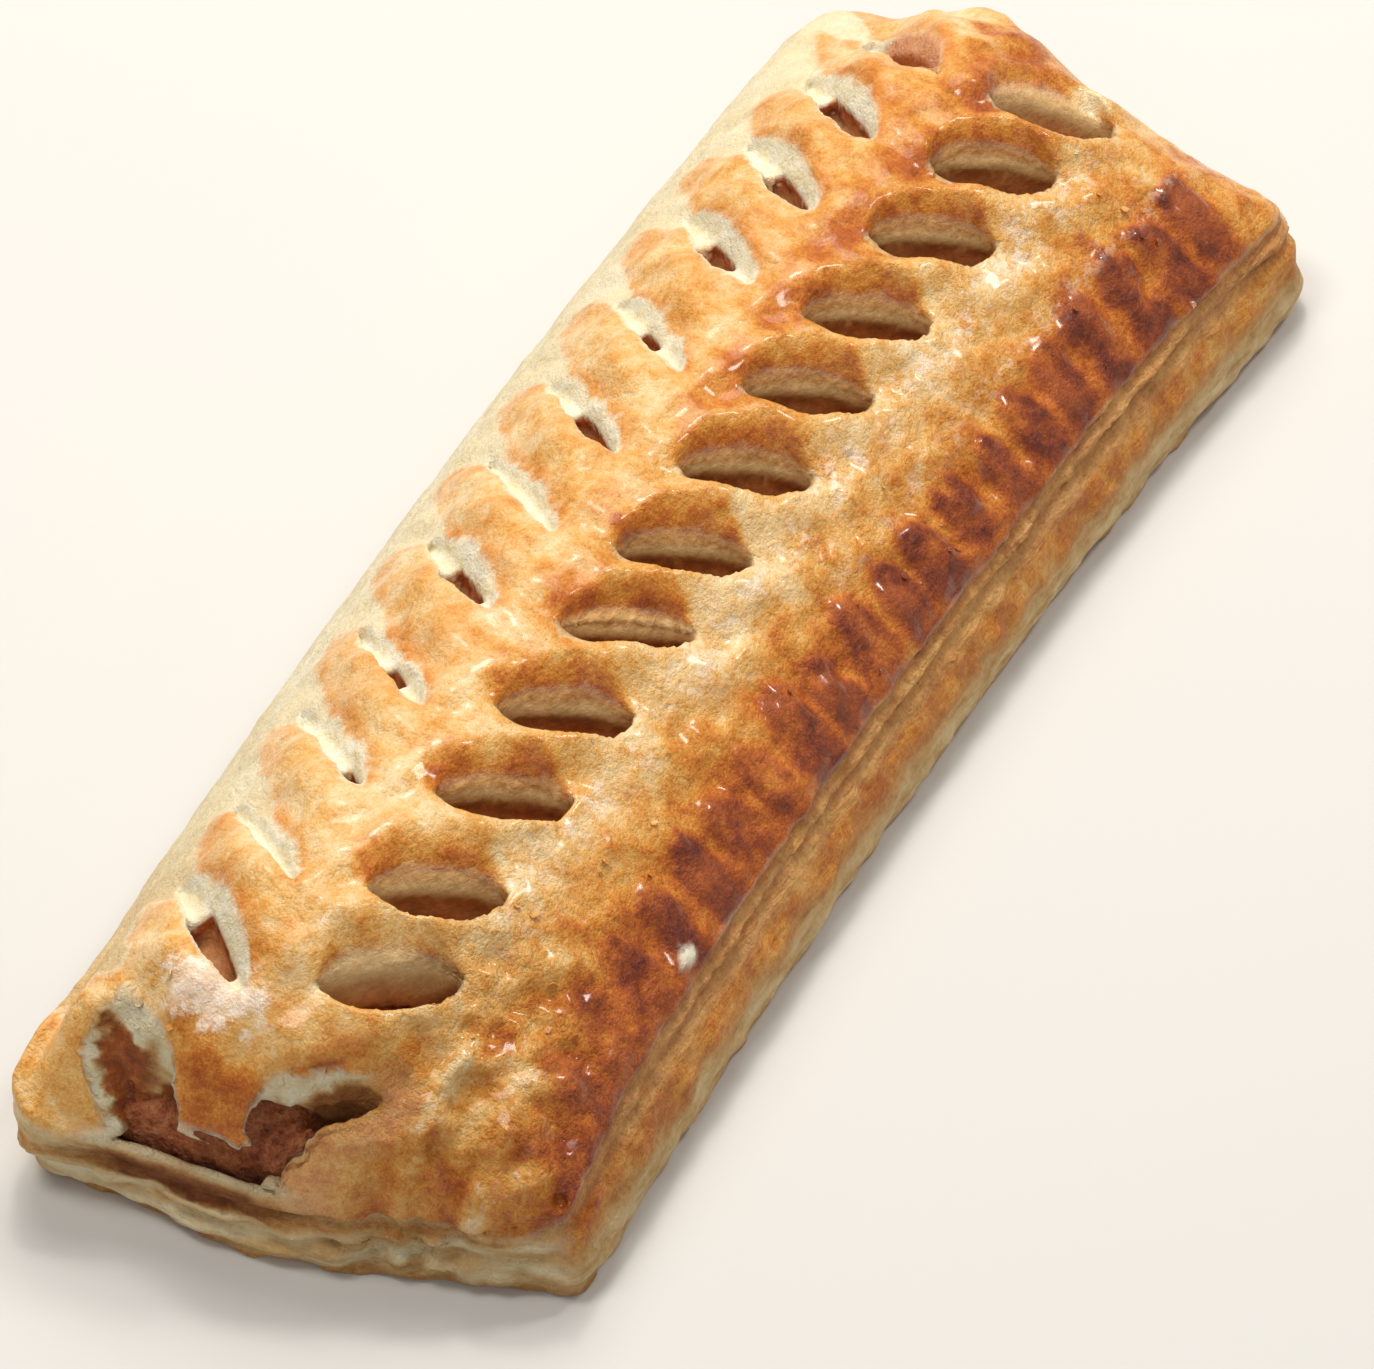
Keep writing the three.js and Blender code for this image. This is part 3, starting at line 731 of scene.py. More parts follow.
# Where the crust bakes darker or paler, as (change of tone, what the band is measured from, its
# shape, where it fades in along x). A round band has a middle and a width, a step a start and an end.
TONE_BANDS = [
    (0.05, "crest", ("step", -2, -8), []),
    (0.08, "crest", ("round", -3.2, 3), [(-55, -25)]),
    (0.1, "crest", ("round", -3, 4), [(0, 20)]),
    (0.05, "crest", ("round", -2, 4), [(34, 42)]),
    (0.18, "edge", ("step", 13, 8), [(-74, -66), (70, 64)]),
    (0.08, "edge", ("step", 7, 4.5), [(-74, -66), (70, 64)]),
    (0.05, "edge", ("step", 11, 5), [(-30, -50)]),
    (-0.07, "edge", ("round", 12, 5), [(-52, -58), (-72, -68)]),
    (-0.06, "edge", ("step", 10, 7), [(36, 42), (70, 66)]),
    (-0.07, "slits", ("round", -5.4, 2.6), [(-55, -43), (62, 52)]),
    (0.04, "x", ("step", 10, 60), []),
    (0.05, "x", ("step", -73, -77), []),
]
# Where the glaze stops on the folded side, as (x, y), and how far it draws back at a slit.
GLAZE_LINE = [
    (-86, 40), (-76, 24), (-70, 17), (-50, 15.5), (-31, 18.5), (-16, 20), (40, 20), (60, 17), (80, 24),
]
GLAZE_DRAWN_BACK = 6.5
GOLDEN_BAND = (4.6, 8.6)
NEAR_EDGE_HEIGHT = 6.9
BURST_END_TO = -64.0
GREASY_PATCH = (-76.4, 12.0, 2.6)
RIGHT_TEAR_EDGE = ((-79.0, -4.6, 0), (-70.0, -12.2, 0))


def paint(surface, mask, **values):
    """Lays values over a surface where a mask is 1."""
    for name, value in values.items():
        surface[name] = mix(surface[name], value, mask)


def paint_dough(surface, mask, tone, **values):
    """Lays bare dough, which has no glaze, over a surface."""
    bare = {"dough": 1, "sheen": 0, "gloss": 0, "blush": 0, **values}
    paint(surface, mask, dough_tone=tone, **bare)


def part_of(surface, chosen):
    return {name: values[chosen] for name, values in surface.items()}


def put_back(surface, chosen, part):
    for name, values in part.items():
        surface[name][chosen] = values


def banded_tone(measures):
    tone = MIDDLE_TONE
    for change, measure, (shape, a, b), fades in TONE_BANDS:
        band = hump(measures[measure] - a, b) if shape == "round" else fade(measures[measure], a, b)
        for start, end in fades:
            band = band * fade(measures["x"], start, end)
        tone = tone + change * band
    return tone


def crust_tone(x, y, edge, crest, toast, creased, patches):
    tone = banded_tone({"x": x, "edge": edge, "crest": crest, "slits": y - row_y(CRIMP_ROW, x)})
    tone = tone + 0.05 * noise(x, y, 0, 9, 41) + 0.06 * noise(x, y, 0, 3.5, 42)
    tone = tone + 0.05 * noise(x, y, 0, 2, 69) + 0.05 * fade(edge, 16, 12.5) * (1 - hump(x - 8, 20))
    tone = tone + 0.1 * fade(noise(x, 1.3 * y, 0, 3.2, 70), 0.15, 0.5) * hump(edge - 12.5, 4)
    tone = tone + 0.06 * fade(x, -60, -72) * fade(y, -4, -8) * fade(edge, 2, 8)
    tone = tone + 0.22 * hump(np.hypot(x + 77.5, 0.8 * (y - 2.0)), 4.6)
    tone = tone - 0.05 * strips(x, y, FOLD_ROW) * hump(y - row_y(FOLD_ROW, x), STRIP_REACH)
    # Painted shade and highlight: wrinkle troughs are painted darker and their crests paler.
    tone = tone - 0.2 * creased + 0.1 * patches * hump(crest + 3, 4) * fade(x, -50, -20)
    tone = tone + toast * (0.75 + 0.5 * noise(x, y, 0, 1.5, 43))
    return np.minimum(tone, DARKEST_TONE)


def painted_crust_sheen(x, y, edge, creased):
    """Painted highlights beside the slits, over the blisters, on the wrinkle crests and on the tongue."""
    band = hump(y - row_y(CRIMP_ROW, x) + 6.0, 2.0) * fade(x, -60, -48) * fade(x, 64, 54)
    band = band * smooth(0.75 + noise(0.8 * x + 0.3 * y, 0.5 * y, 0, 1.7, 67))
    highlight_over_blisters = 0.35 * hump(edge - BLISTER["inset"] - 4.0, 0.8) * fade(x, -10, 10)
    creases = 0.4 * fade(creased, 0.3, 0.6)
    tongue = 2.0 * smooth(1.6 - np.hypot((x + 71.1) / 2.2, (y - 5.3) / 4.4) + 0.3 * noise(x, y, 0, 1.2, 66))
    return np.clip(0.85 * band + highlight_over_blisters + creases + tongue, 0, MOST_PAINTED_SHEEN)


def paint_crust(surface, x, y):
    edge = y - crimp_line(x)
    crest = y - crest_line(x)
    toast = blister_maps(x, y)[1]
    creased = wrinkles(x, y)
    patches = fade(noise(x, y, 0, 4.5, 61), 0.05, 0.45)
    reddened = 0.25 * hump(crest + 3, 3.5) * fade(x, -50, -20) + 0.5 * hump(edge - 10, 4)
    rosy = 0.22 * hump(crest - 6, 7) * fade(noise(x, y, 0, 6, 62), 0.1, 0.5)
    surface["bake_tone"] = crust_tone(x, y, edge, crest, toast, creased, patches)
    # Painted highlights: the sheen mask mixes the crust towards a pale highlight colour in the material.
    surface["sheen"] = painted_crust_sheen(x, y, edge, creased)
    surface["blush"] = patches * reddened + rosy
    surface["gloss"] = mix(1.1, 0.45, fade(crest, -2, 1)) + fade(toast, 0, 0.3)
    surface["layered"] = 0.15 + 0 * x
    surface["relief"] = 1 + 0.9 * fade(x, -40, -60) * fade(y, -6, -11)


def paint_fold_side(surface, x, y, z):
    """Bare pale dough below the line where the glaze stops, darker towards the near end as painted shade.
    """
    at_slit = 0.5 + 0.5 * strips(x, y, FOLD_ROW)
    limit = along_table(GLAZE_LINE, x) + 0.8 - GLAZE_DRAWN_BACK * at_slit**2 * fade(x, -76, -68)
    limit = limit + 0.6 * noise(x, y, z, 3, 44)
    bare = smooth((y - limit) / 1.1)
    # Painted shade: the bare dough darkens towards the near end.
    tone = 0.22 + 0.08 * noise(x, y, z, 4, 45) + 0.26 * fade(x, -40, -74)
    paint(surface, hump(y - limit + 1.2, 1.5) * (1 - bare), blush=0.4)
    paint_dough(surface, bare, tone, dough=0.95, gloss=0.1)
    paint(surface, bare * fade(z, 3.2, 0.7), dough=0.5, dough_tone=0.4)


def paint_rims(surface, x, y, z):
    gaps = side_gaps(x, y)
    shares = side_shares(gaps)
    rows = rim_rows(x, y, gaps)
    wander = 0.6 * noise(x, y, 0, 5, 46) + 0.3 * noise(x, y, z, 1.2, 47)
    lowered = fade(shares["near"], 0.4, 0.7) * fade(y, -5, -8)
    top = mix(rows[1][1] + 0.3, NEAR_EDGE_HEIGHT, lowered)
    under_edge = smooth((top + wander * 0.5 - z) / 0.9) * (1 - fade(shares["fold"], 0.45, 0.65))
    crimped = fade(shares["crimp"], 0.35, 0.55)
    paint(surface, under_edge, layered=1)
    paint_crimped_rim(surface, x, y, z, rows, under_edge, crimped, wander)
    paint_end_rims(surface, x, y, z, rows, under_edge * (1 - crimped))


def paint_crimped_rim(surface, x, y, z, rows, under_edge, crimped, wander):
    """Dark broken lines under the crimps, partly browned crust and partly painted shade in the creases,
    over a golden band and a pale foot.
    """
    tone = 0.48 + 0.08 * noise(x * 0.5, y * 0.5, z * 1.5, 1.6, 48)
    paint_dough(surface, under_edge * crimped, 0.55, dough=0.55, bake_tone=tone, gloss=0.1)
    # Painted shade: dark broken lines along two creases of the rim.
    creases = np.clip(hump(z - rows[2][1], 0.35) + hump(z - rows[4][1], 0.35), 0, 1)
    broken = fade(noise(x, y, z, 3, 63), -0.5, 0.1)
    paint(surface, 0.8 * creases * crimped * broken, dough=0.3, bake_tone=0.62)
    low, high = GOLDEN_BAND
    band = smooth((high - z) / 0.9) * smooth((z - low - wander) / 1.6)
    golden = 0.46 + 0.08 * noise(x, y, z * 0.5, 4, 49)
    paint(surface, crimped * band, bake_tone=golden, dough=0.05, gloss=0.25)
    foot = smooth((low + 0.8 + wander - z) / 1.8)
    pale = 0.46 + 0.12 * noise(x, y, z * 2, 2, 50)
    paint(surface, crimped * foot, dough=1, dough_tone=pale, gloss=0)
    paint(surface, crimped * fade(z, 1, 0.5), dough=0.4, bake_tone=0.42)


def paint_end_rims(surface, x, y, z, rows, rim):
    """Pale layered dough at both ends, with a brown line and a brown foot."""
    layers = noise(x * 0.4, y * 0.4, z * 2.5, 2, 57)
    paint_dough(surface, rim, 0.42 + 0.25 * layers)
    browned = np.clip(hump(z - rows[4][1] + 0.2, 0.5) + hump(z - 0.5, 0.7), 0, 1)
    paint(surface, rim * browned, dough=0.6, dough_tone=0.6, bake_tone=0.45)


def between_tips(u):
    return smooth((1.12 - np.abs(u)) / 0.15)


def slit_walls(slit, x, y, below, reach):
    """1 on the walls of a slit and 0 away from them."""
    tips = between_tips(slit_place(slit, x, y)[0])
    return tips * smooth((reach - slit_opening(slit, x, y, below)) / 0.3)


def paint_crimp_slit(part, slit, x, y, z, below):
    """A roll of crust behind the slit, browned partly by toasting and partly as painted shade, and walls
    with painted shade that darkens inwards, down to a meat stain.
    """
    u, v, _ = slit_place(slit, x, y)
    over = v - CRIMP_SLIT_TIP
    across = over / crimp_slit_width(slit, u)
    waver = 0.05 * noise(x, y, 0, 1.4, 68) - 0.02 * over
    ends = smooth((1.12 + waver - np.abs(u + 0.05)) / 0.22)
    rolled = fade(across, 1.5, 2.1) * fade(over, 6.4, 3.8) * ends * slit["shade"]
    mottled = 0.05 * noise(x, y, z, 1.8, 65)
    # Painted shade, partly toasting: the roll behind the slit is browner, most of all near the crease.
    paint(part, 0.8 * rolled, bake_tone=0.4 + mottled, sheen=0, relief=0.6)
    paint(part, rolled * hump(over - 2.0, 1.7), bake_tone=0.55 + mottled, blush=0)
    far_side = fade(across, 0.6, 1.1)
    start = mix(0.2, 1.0, far_side)
    cavity = slit_walls(slit, x, y, below, 1.2) * smooth((below - start) / mix(0.3, 0.9, far_side))
    # Painted shade: the walls darken with depth, and a dark line marks the crease on the far ledge.
    tone = 0.58 + 0.38 * fade(below, 2.4, 3.1) + 0.38 * far_side * fade(below, 1.95, 1.55)
    tone = mix(0.44, tone, slit["shade"])
    stain = 0.5 * fade(below, 2.8, 3.6) * slit["shade"]
    paint(part, cavity, dough=1, dough_tone=tone, stain=stain, sheen=0, gloss=0, relief=0.35)


def paint_fold_slit(part, slit, x, y, z, below):
    """A reddened lip and pale dough, with the meat's stain round the hole."""
    u, v, opening = slit_place(slit, x, y)
    lip = hump(v + 2.6 * math.sqrt(slit["scale"]) * np.maximum(opening, 0.3), 1.0) * between_tips(u)
    paint(part, 0.5 * lip, bake_tone=0.44, blush=0.9)
    cavity = slit_walls(slit, x, y, below, 0.5) * fade(below, -0.05, 0.45)
    tone = 0.14 + 0.14 * noise(x, y, z, 0.9, 58)
    paint_dough(part, cavity, tone)
    if slit["x"] > MEAT_SHOWS_FROM:
        paint(part, cavity * fade(u, 0.9, 0.6), dough=0.2, bake_tone=0.4, blush=1.3, relief=3)
    start, end = slit["hole"]
    if end > start:
        hole = smooth((u - start + 0.15) / 0.1) * smooth((end + 0.15 - u) / 0.1)
        paint(part, cavity * hole * fade(below, 1.9, 2.25), stain=1)


def paint_slits(surface, x, y, z, plain):
    for slit in SLITS:
        near = np.flatnonzero(np.hypot(x - slit["x"], y - slit["y"]) < SLIT_WINDOW - 1)
        part = part_of(surface, near)
        paint_slit = paint_crimp_slit if slit["kind"] == "crimp" else paint_fold_slit
        paint_slit(part, slit, x[near], y[near], z[near], (plain - z)[near])
        put_back(surface, near, part)


def paint_inside(surface, x, y, z, crust):
    """The walls round the filling."""
    covered = fade(crust - z, 2.5, 3.5) * fade(inside_plan(side_gaps(x, y)), 5, 6.5)
    paint(surface, covered * fade(z, 3, 4), dough=1, dough_tone=0.6, stain=0.6, sheen=0)


def paint_burst_end(surface, x, y, z, plain):
    """Torn pale dough that turns greasy and brown towards the meat, with painted shade on the right wall of
    the tear.
    """
    near = np.flatnonzero(x < BURST_END_TO)
    part = part_of(surface, near)
    x, y, z, below = x[near], y[near], z[near], (plain - z)[near]
    torn = noise(x, y, z, 1.0, 59)
    wall = fade(tear_opening(x, y, z, below), 0.6, 0.3) * fade(below, 0.35, 0.75)
    tone = 0.24 + 0.12 * torn + 0.2 * smooth((below - 1.6 + 0.5 * torn) / 0.5)
    paint_dough(part, wall, tone, relief=2.5, layered=0.6)
    paint(part, wall * smooth((below - 3.0 + 0.8 * torn) / 0.8), dough_tone=0.8, stain=0.6)
    # Painted shade: the right wall of the tear darkens beyond a little depth.
    shaded = fade(x, -75.5, -73.5) * fade(y, -4, -6) * smooth((below - 1.0 + 0.4 * torn) / 0.6)
    paint(part, wall * shaded, dough_tone=0.8, stain=0.2)
    browned = fade(segment_distance(x, y, 0 * x, *RIGHT_TEAR_EDGE), 2.6, 1.6) * fade(below, 2, 1)
    paint(part, browned, dough=0.1, bake_tone=0.42)
    greasy = patch(x, y, GREASY_PATCH) * smooth((below - 1.3 + 0.6 * torn) / 0.5)
    paint(part, wall * np.clip(1.5 * greasy, 0, 1), dough_tone=0.9, stain=0.9, gloss=0.5)
    paint_mouth(part, x, y, z, torn)
    put_back(surface, near, part)


def paint_mouth(part, x, y, z, torn):
    """The greasy skin across the mouth of the burst end, and the pale rim above it."""
    in_from_end = x - near_line(y)
    skin = fade(in_from_end, MOUTH_SKIN + 1.5, MOUTH_SKIN + 1.0) * hump((y - 4) / 10, 1.0) ** 2
    skin = skin * fade(z, 4.9, 5.5) * fade(z, TEAR_FLOOR + 0.3, TEAR_FLOOR - 0.2)
    tone = 0.98 + 0.2 * torn
    stained = np.clip(2.2 * skin, 0, 1)
    paint(part, stained, dough=1, dough_tone=tone, stain=0.35, gloss=0.3, sheen=0, relief=3)
    rim = hump(z - TEAR_FLOOR + 0.1, 0.8) * fade(in_from_end, 4, 3) * fade(y, -7, -4) * fade(y, 15, 12)
    paint(part, rim, dough=1, dough_tone=0.25, stain=0, bake_tone=0.3)


def paint_surface(places):
    x, y, z = places.T.astype(float)
    plain, crust = crust_heights(x, y)
    surface = {name: 0 * x for name in SURFACE}
    paint_crust(surface, x, y)
    paint_fold_side(surface, x, y, z)
    paint_rims(surface, x, y, z)
    paint_slits(surface, x, y, z, plain)
    paint_inside(surface, x, y, z, crust)
    paint_burst_end(surface, x, y, z, plain)
    for place, radius, values in SPOTS:
        away = np.sqrt(sum((c - middle) ** 2 for c, middle in zip((x, y, z), place)))
        away = away + 0.5 * noise(x, y, z, 1.1, 64)
        paint(surface, smooth(1.6 * (1.3 - away / radius)), **values)
    # Painted shade: each groove and crack is painted darker along its length.
    for start, end, radius in CREASES:
        away = segment_distance(x, y, z, start, end)
        paint(surface, 0.6 * smooth(1.5 - away / radius), bake_tone=0.6, dough_tone=0.7)
    paint(surface, fade(z, 0.25, 0.05), dough=0.2, bake_tone=0.42, sheen=0, stain=0)
    return {name: np.clip(values, 0, 2) for name, values in surface.items()}


# ======== materials
# Colours as 0 to 255 screen values, each after its place on a ramp.
CRUST_COLOURS = [
    (0.0, (242, 226, 186)), (0.15, (240, 206, 150)), (0.3, (229, 174, 95)), (0.42, (214, 140, 50)),
    (0.55, (188, 100, 22)), (0.7, (150, 66, 12)), (0.85, (110, 38, 6)), (1.0, (76, 24, 4)),
]
DOUGH_COLOURS = [
    (0.0, (240, 234, 214)), (0.25, (230, 214, 174)), (0.5, (208, 172, 118)), (0.75, (156, 106, 56)),
    (1.0, (104, 60, 28)),
]
STAIN_COLOURS = [(0.3, (120, 54, 22)), (0.55, (172, 88, 34)), (0.8, (206, 136, 72))]
MEAT_COLOURS = [
    (0.25, (60, 26, 16)), (0.4, (124, 60, 34)), (0.5, (180, 96, 52)), (0.62, (208, 132, 84)),
    (0.8, (226, 176, 136)),
]
# Colour of the painted highlights.
PAINTED_SHEEN_COLOUR = (255, 232, 208)
BLUSH_COLOUR = (224, 120, 48)
FLOOR_COLOUR = (214, 212, 208)


def colour(r, g, b):
    """Linear colour from the 0 to 255 values of a screen colour."""
    shares = [value / 255 for value in (r, g, b)]
    linear = [c / 12.92 if c <= 0.04045 else ((c + 0.055) / 1.055) ** 2.4 for c in shares]
    return (*linear, 1.0)


class Tree:
    """Shorthand for adding nodes to one node tree."""

    def __init__(self, tree):
        self.tree = tree

    def put(self, value, socket):
        """Links a socket's output, or sets a plain value."""
        if isinstance(value, bpy.types.NodeSocket):
            self.tree.links.new(value, socket)
        else:
            socket.default_value = value

    def add(self, kind, inputs=None, **settings):
        node = self.tree.nodes.new(kind)
        for name, value in settings.items():
            setattr(node, name, value)
        for key, value in (inputs or {}).items():
            self.put(value, node.inputs[key])
        return node

    def times(self, a, b):
        return self.add("ShaderNodeMath", {0: a, 1: b}, operation="MULTIPLY").outputs[0]

    def total(self, start, *terms, clamp=False):
        """A start plus each value times its weight, kept from 0 to 1 if clamped."""
        for value, weight in terms:
            inputs = {0: value, 1: weight, 2: start}
            node = self.add("ShaderNodeMath", inputs, operation="MULTIPLY_ADD")
            start = node.outputs[0]
        node.use_clamp = clamp
        return start

    def between(self, value, low, high):
        inputs = {"Value": value, "From Min": low, "From Max": high}
        return self.add("ShaderNodeMapRange", inputs, interpolation_type="SMOOTHSTEP").outputs["Result"]

    def place(self):
        return self.add("ShaderNodeTexCoord").outputs["Object"]

    def attribute(self, name):
        return self.add("ShaderNodeAttribute", attribute_name=name).outputs["Fac"]

    def noise(self, place, scale, detail, roughness):
        inputs = {"Vector": place, "Scale": scale, "Detail": detail, "Roughness": roughness}
        return self.add("ShaderNodeTexNoise", inputs).outputs["Fac"]

    def stretched(self, place, x, y, z):
        return self.add("ShaderNodeMapping", {"Vector": place, "Scale": (x, y, z)}).outputs["Vector"]

    def ramp(self, value, stops):
        node = self.add("ShaderNodeValToRGB", {"Fac": value})
        elements = node.color_ramp.elements
        while len(elements) < len(stops):
            elements.new(1.0)
        for element, (position, rgb) in zip(elements, stops):
            element.position = position
            element.color = colour(*rgb)
        return node.outputs["Color"]

    def mix_colour(self, share, a, b):
        node = self.add("ShaderNodeMix", data_type="RGBA")
        sockets = {socket.name: socket for socket in node.inputs if socket.enabled}
        for name, value in (("Factor", share), ("A", a), ("B", b)):
            self.put(value, sockets[name])
        return next(socket for socket in node.outputs if socket.enabled)

    def bump(self, height, distance):
        inputs = {"Height": height, "Strength": 1.0, "Distance": distance}
        return self.add("ShaderNodeBump", inputs).outputs["Normal"]


def new_material(name):
    material = bpy.data.materials.new(name)
    material.use_nodes = True
    return material, Tree(material.node_tree), material.node_tree.nodes["Principled BSDF"].inputs


def crust_colour(tree, place, mottle, fine, grain):
    """Browned crust, reddened in places, with painted highlights laid over it in a crackle pattern."""
    toasted = (tree.attribute("bake_tone"), 1.0)
    tone = tree.total(-0.62, toasted, (mottle, 0.6), (fine, 0.32), (grain, 0.32), clamp=True)
    blush = tree.times(tree.attribute("blush"), 0.6)
    crust = tree.mix_colour(blush, tree.ramp(tone, CRUST_COLOURS), colour(*BLUSH_COLOUR))
    sheen = tree.attribute("sheen")
    crackle = tree.between(tree.noise(place, 620.0, 7.0, 0.75), 0.49, 0.58)
    cracked = tree.times(sheen, tree.total(0.02, (crackle, 0.85)))
    full = tree.total(-0.9, (sheen, 1.0), clamp=True)
    return tree.mix_colour(tree.total(cracked, (full, 0.75), clamp=True), crust, colour(*PAINTED_SHEEN_COLOUR))


def dough_colour(tree, place, fine, layers):
    """Bare dough in its layers, stained by the meat where it touches it."""
    streaks = tree.times(tree.total(-0.25, (layers, 0.5)), tree.attribute("layered"))
    tone = tree.total(-0.15, (tree.attribute("dough_tone"), 1.0), (streaks, 1.0), (fine, 0.3), clamp=True)
    stained = tree.ramp(tree.noise(place, 800.0, 3.0, 0.6), STAIN_COLOURS)
    return tree.mix_colour(tree.attribute("stain"), tree.ramp(tone, DOUGH_COLOURS), stained)


def pastry_material():
    material, tree, inputs = new_material("baked_pastry")
    place = tree.place()
    mottle = tree.noise(place, 420.0, 6.0, 0.62)
    fine = tree.noise(place, 1500.0, 4.0, 0.7)
    grain = tree.noise(place, 4200.0, 2.0, 0.7)
    layers = tree.noise(tree.stretched(place, 0.3, 0.3, 3.0), 520.0, 4.0, 0.65)
    dough = tree.attribute("dough")
    gloss = tree.attribute("gloss")
    crust = crust_colour(tree, place, mottle, fine, grain)
    tree.put(tree.mix_colour(dough, crust, dough_colour(tree, place, fine, layers)), inputs["Base Color"])

    tree.put(tree.total(0.25, (dough, 0.35), (fine, 0.45), (gloss, -0.05)), inputs["Roughness"])
    tree.put(tree.times(gloss, 0.35), inputs["Coat Weight"])
    inputs["Coat Roughness"].default_value = 0.14
    inputs["Specular IOR Level"].default_value = 0.25
    pebbled = tree.total(0.0, (mottle, 0.9), (fine, 0.35), (grain, 0.08))
    flaky = tree.times(layers, tree.attribute("layered"))
    height = tree.total(tree.times(pebbled, tree.attribute("relief")), (flaky, 0.7))
    tree.put(tree.bump(height, 0.0008), inputs["Normal"])
    return material


def meat_material():
    material, tree, inputs = new_material("cooked_sausage_meat")
    place = tree.place()
    lumps = tree.noise(place, 420.0, 3.0, 0.6)
    grain = tree.noise(place, 1300.0, 4.0, 0.7)
    minced = tree.total(0.0, (lumps, 0.5), (grain, 0.5))
    tree.put(tree.ramp(minced, MEAT_COLOURS), inputs["Base Color"])
    tree.put(tree.total(0.15, (grain, 0.4)), inputs["Roughness"])
    tree.put(tree.bump(minced, 0.0025), inputs["Normal"])
    return material


# ======== pieces
def roughen_crust(mesh):
    """Lifts the vertices in small lumps and, near the burst end, in long creases."""
    places = vertex_vectors(mesh)
    x, y, z = places.T
    pebbled = 1 + 1.2 * fade(y, -8, -13)
    lift = 0.13 * noise(x, y, z, 3.0, 51) + 0.08 * pebbled * noise(x, y, z, 1.3, 52) + wrinkles(x, y)
    places = places + vertex_vectors(mesh, "normal") * (lift * fade(z, 0.3, 1.3))[:, None]
    low, high = [np.array(corner, np.float32) / MM for corner in cad_box]
    ceiling = high[2] - TOP_ROOM
    squeeze = TOP_ROOM - 0.02
    pressed = squeeze * np.tanh(np.maximum(places[:, 2] - ceiling, 0) / squeeze)
    places[:, 2] = np.minimum(places[:, 2], ceiling) + pressed
    move_vertices(mesh, np.clip(places, low + 0.01, high - 0.01))


def make_pastry():
    mesh = mesh_of_field("pastry_case", pastry_field())
    face_outwards(mesh)
    roughen_crust(mesh)
    mesh = thinned(mesh, MOST_TRIANGLES["pastry"])
    for name, values in paint_surface(vertex_vectors(mesh)).items():
        add_attribute(mesh, name, values)
    material = pastry_material()
    piece = finish_piece("pastry_case", mesh, material)
    make_crumbs(piece, material)
    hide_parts("pastry")


def make_filling():
    mesh = mesh_of_field("sausage_filling", filling_field(True))
    face_outwards(mesh)
    mesh = thinned(mesh, MOST_TRIANGLES["filling"])
    piece = finish_piece("sausage_filling", mesh, meat_material())
    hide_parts("sausage_meat")


FLAKE_RIM = [(0.5, 0.0), (0.3, 0.38), (-0.12, 0.46), (-0.5, 0.18), (-0.42, -0.25), (0.08, -0.4)]
FLAKE_THICKNESS = 0.14
FLAKE_SURFACE = {"bake_tone": 0.3, "gloss": 0.4, "dough": 0.35, "dough_tone": 0.2}
STREWING = {"Density": 24_000.0, "Smallest": 0.35, "Largest": 1.0, "Seed": SEED}
FLAKE_TURN = (0.5, 0.5, 6.28)
TORN_CRUMBS = (-75, 10, 4)


def flake_mesh():
    """One loose flake of crust, about 1 mm across, closed and slightly curled."""
    points = []
    for lift in (0.0, FLAKE_THICKNESS):
        for x, y in FLAKE_RIM:
            points.append((x * MM, y * MM, (lift + 0.5 * x * x + 0.2 * y) * MM))
    count = len(FLAKE_RIM)
    faces = [tuple(range(count - 1, -1, -1)), tuple(range(count, 2 * count))]
    faces += [(i, (i + 1) % count, count + (i + 1) % count, count + i) for i in range(count)]
    mesh = bpy.data.meshes.new("crust_flake")
    mesh.from_pydata(points, [], faces)
    return mesh


def scatter_tree(flake, material):
    """A node tree that strews an object over a surface, thickest where the attribute strewn is high."""
    group = bpy.data.node_groups.new("strew_flakes", "GeometryNodeTree")
    group.interface.new_socket("Geometry", in_out="INPUT", socket_type="NodeSocketGeometry")
    for name, value in STREWING.items():
        kind = "NodeSocketInt" if isinstance(value, int) else "NodeSocketFloat"
        group.interface.new_socket(name, in_out="INPUT", socket_type=kind)
    group.interface.new_socket("Geometry", in_out="OUTPUT", socket_type="NodeSocketGeometry")
    tree = Tree(group)
    start = tree.add("NodeGroupInput").outputs
    seed = start["Seed"]
    strewn = tree.add("GeometryNodeInputNamedAttribute", {"Name": "strewn"}, data_type="FLOAT").outputs[0]
    spread = {"Mesh": start["Geometry"], "Density": tree.times(strewn, start["Density"]), "Seed": seed}
    points = tree.add("GeometryNodeDistributePointsOnFaces", spread).outputs
    turns = {"Min": (0.0, 0.0, 0.0), "Max": FLAKE_TURN, "Seed": seed}
    turn = tree.add("FunctionNodeRandomValue", turns, data_type="FLOAT_VECTOR").outputs[0]
    sizes = {2: start["Smallest"], 3: start["Largest"], "Seed": seed}
    size = tree.add("FunctionNodeRandomValue", sizes, data_type="FLOAT").outputs[1]
    turning = {"Rotation": points["Rotation"], "Rotate By": turn}
    turned = tree.add("FunctionNodeRotateRotation", turning, rotation_space="LOCAL").outputs[0]
    shape = tree.add("GeometryNodeObjectInfo", {"Object": flake}).outputs["Geometry"]
    placing = {"Points": points["Points"], "Instance": shape, "Rotation": turned, "Scale": size}
    copies = tree.add("GeometryNodeInstanceOnPoints", placing).outputs["Instances"]
    real = tree.add("GeometryNodeRealizeInstances", {"Geometry": copies}).outputs["Geometry"]
    coated = tree.add("GeometryNodeSetMaterial", {"Geometry": real, "Material": material})
    tree.put(coated.outputs["Geometry"], tree.add("NodeGroupOutput").inputs[0])
    return group


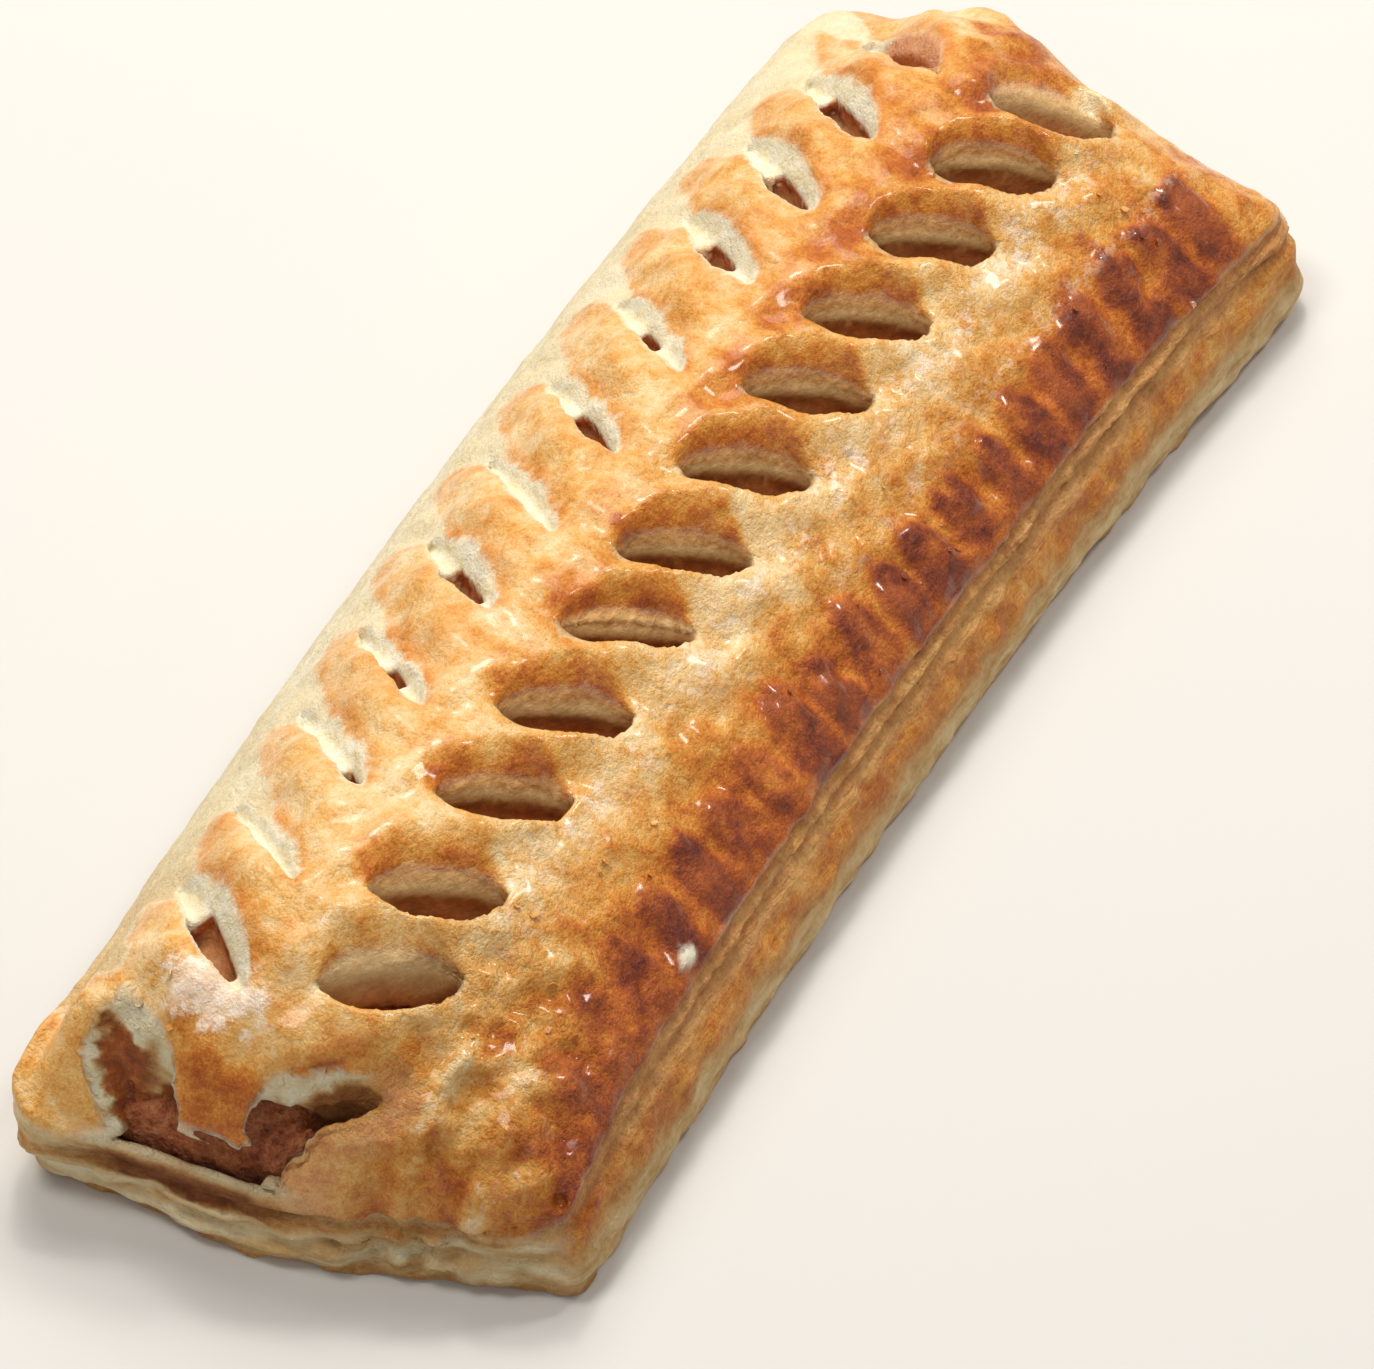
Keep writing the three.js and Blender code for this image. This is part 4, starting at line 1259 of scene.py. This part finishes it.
def make_crumbs(pastry, material):
    """Loose flakes of crust on the crimped slope and along the torn end."""
    flake = bpy.data.objects.new("crust_flake", flake_mesh())
    ground = pastry.data.copy()
    x, y, z = vertex_vectors(ground).T / MM
    crimped = fade(y, -9, -12) * smooth((y - crimp_line(x) - 4) / 2) * fade(x, -74, -70)
    torn = patch(x, y, TORN_CRUMBS) * fade(z, 10, 12)
    add_attribute(ground, "strewn", (0.5 * crimped + 2.5 * torn) * fade(z, 26, 24.5) * (z > 9))
    carrier = new_object("crumb_ground", ground)
    modifier = carrier.modifiers.new("strew", "NODES")
    modifier.node_group = scatter_tree(flake, material)
    for socket in modifier.node_group.interface.items_tree:
        if socket.in_out == "INPUT" and socket.name in STREWING:
            modifier[socket.identifier] = STREWING[socket.name]
    mesh = evaluated_mesh(carrier)
    bpy.data.objects.remove(carrier)
    bpy.data.objects.remove(flake)
    mesh.name = "loose_flakes"
    for name, value in FLAKE_SURFACE.items():
        add_attribute(mesh, name, np.full(len(mesh.vertices), value))
    crumbs = new_object("loose_flakes", mesh)
    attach(crumbs, "root")


# ======== floor, light and camera
FLOOR_REACH = 3.0
TARGET = Vector((-12.96, -9.14, 14.31)) * MM
CAMERA_BACK = Vector((-0.6038, -0.3306, 0.7254))
CAMERA_DISTANCE = 725.0 * MM
SENSOR = 36.0
LENS = 8036.73 / 1374 * SENSOR
# Each light as (name, direction, distance, size, power, colour).
LIGHTS = [
    ("key", (0.5, 0.3, 0.8), 0.9, 0.6, 5.3, (1.0, 0.96, 0.9)),
    ("spark", (0.45, 0.3, 0.85), 0.9, 0.12, 1.6, (1.0, 0.97, 0.92)),
    ("side_spark", (0.6, -0.28, 0.74), 0.9, 0.14, 1.9, (1.0, 0.96, 0.92)),
    ("top", (-0.23, 0.33, 0.94), 0.9, 0.3, 2.5, (1.0, 0.98, 0.95)),
    ("fill", (-0.6, -0.5, 0.6), 1.1, 0.9, 1.5, (1.0, 0.98, 0.95)),
]
WORLD_COLOUR = (1.0, 0.98, 0.95, 1)
WORLD_STRENGTH = 0.24


def make_floor():
    mesh = bpy.data.meshes.new("floor")
    corners = [(x * FLOOR_REACH, y * FLOOR_REACH, 0) for x, y in ((-1, -1), (1, -1), (1, 1), (-1, 1))]
    mesh.from_pydata(corners, [], [(0, 1, 2, 3)])
    material, _, inputs = new_material("plain_pale_floor")
    inputs["Base Color"].default_value = colour(*FLOOR_COLOUR)
    inputs["Roughness"].default_value = 0.9
    mesh.materials.append(material)
    floor = new_object("floor", mesh)


def aim(thing, place, target):
    turned = (place - target).to_track_quat("Z", "Y").to_matrix().to_4x4()
    thing.matrix_world = Matrix.Translation(place) @ turned


def make_camera():
    data = bpy.data.cameras.new("camera")
    data.sensor_width = SENSOR
    data.lens = LENS
    data.clip_start = 0.01
    data.clip_end = 10
    camera = new_object("camera", data)
    aim(camera, TARGET + CAMERA_BACK * CAMERA_DISTANCE, TARGET)
    bpy.context.scene.camera = camera


def make_light(name, direction, distance, size, power, tint):
    data = bpy.data.lights.new(name, "AREA")
    data.shape = "DISK"
    data.size = size
    data.energy = power
    data.color = tint
    light = new_object(name, data)
    aim(light, TARGET + Vector(direction).normalized() * distance, TARGET)


def make_world():
    world = bpy.data.worlds.new("studio")
    world.use_nodes = True
    background = world.node_tree.nodes["Background"].inputs
    background["Color"].default_value = WORLD_COLOUR
    background["Strength"].default_value = WORLD_STRENGTH
    bpy.context.scene.world = world


make_pastry()
make_filling()
make_floor()
make_camera()
for light in LIGHTS:
    make_light(*light)
make_world()
bpy.context.scene.view_settings.view_transform = "Standard"
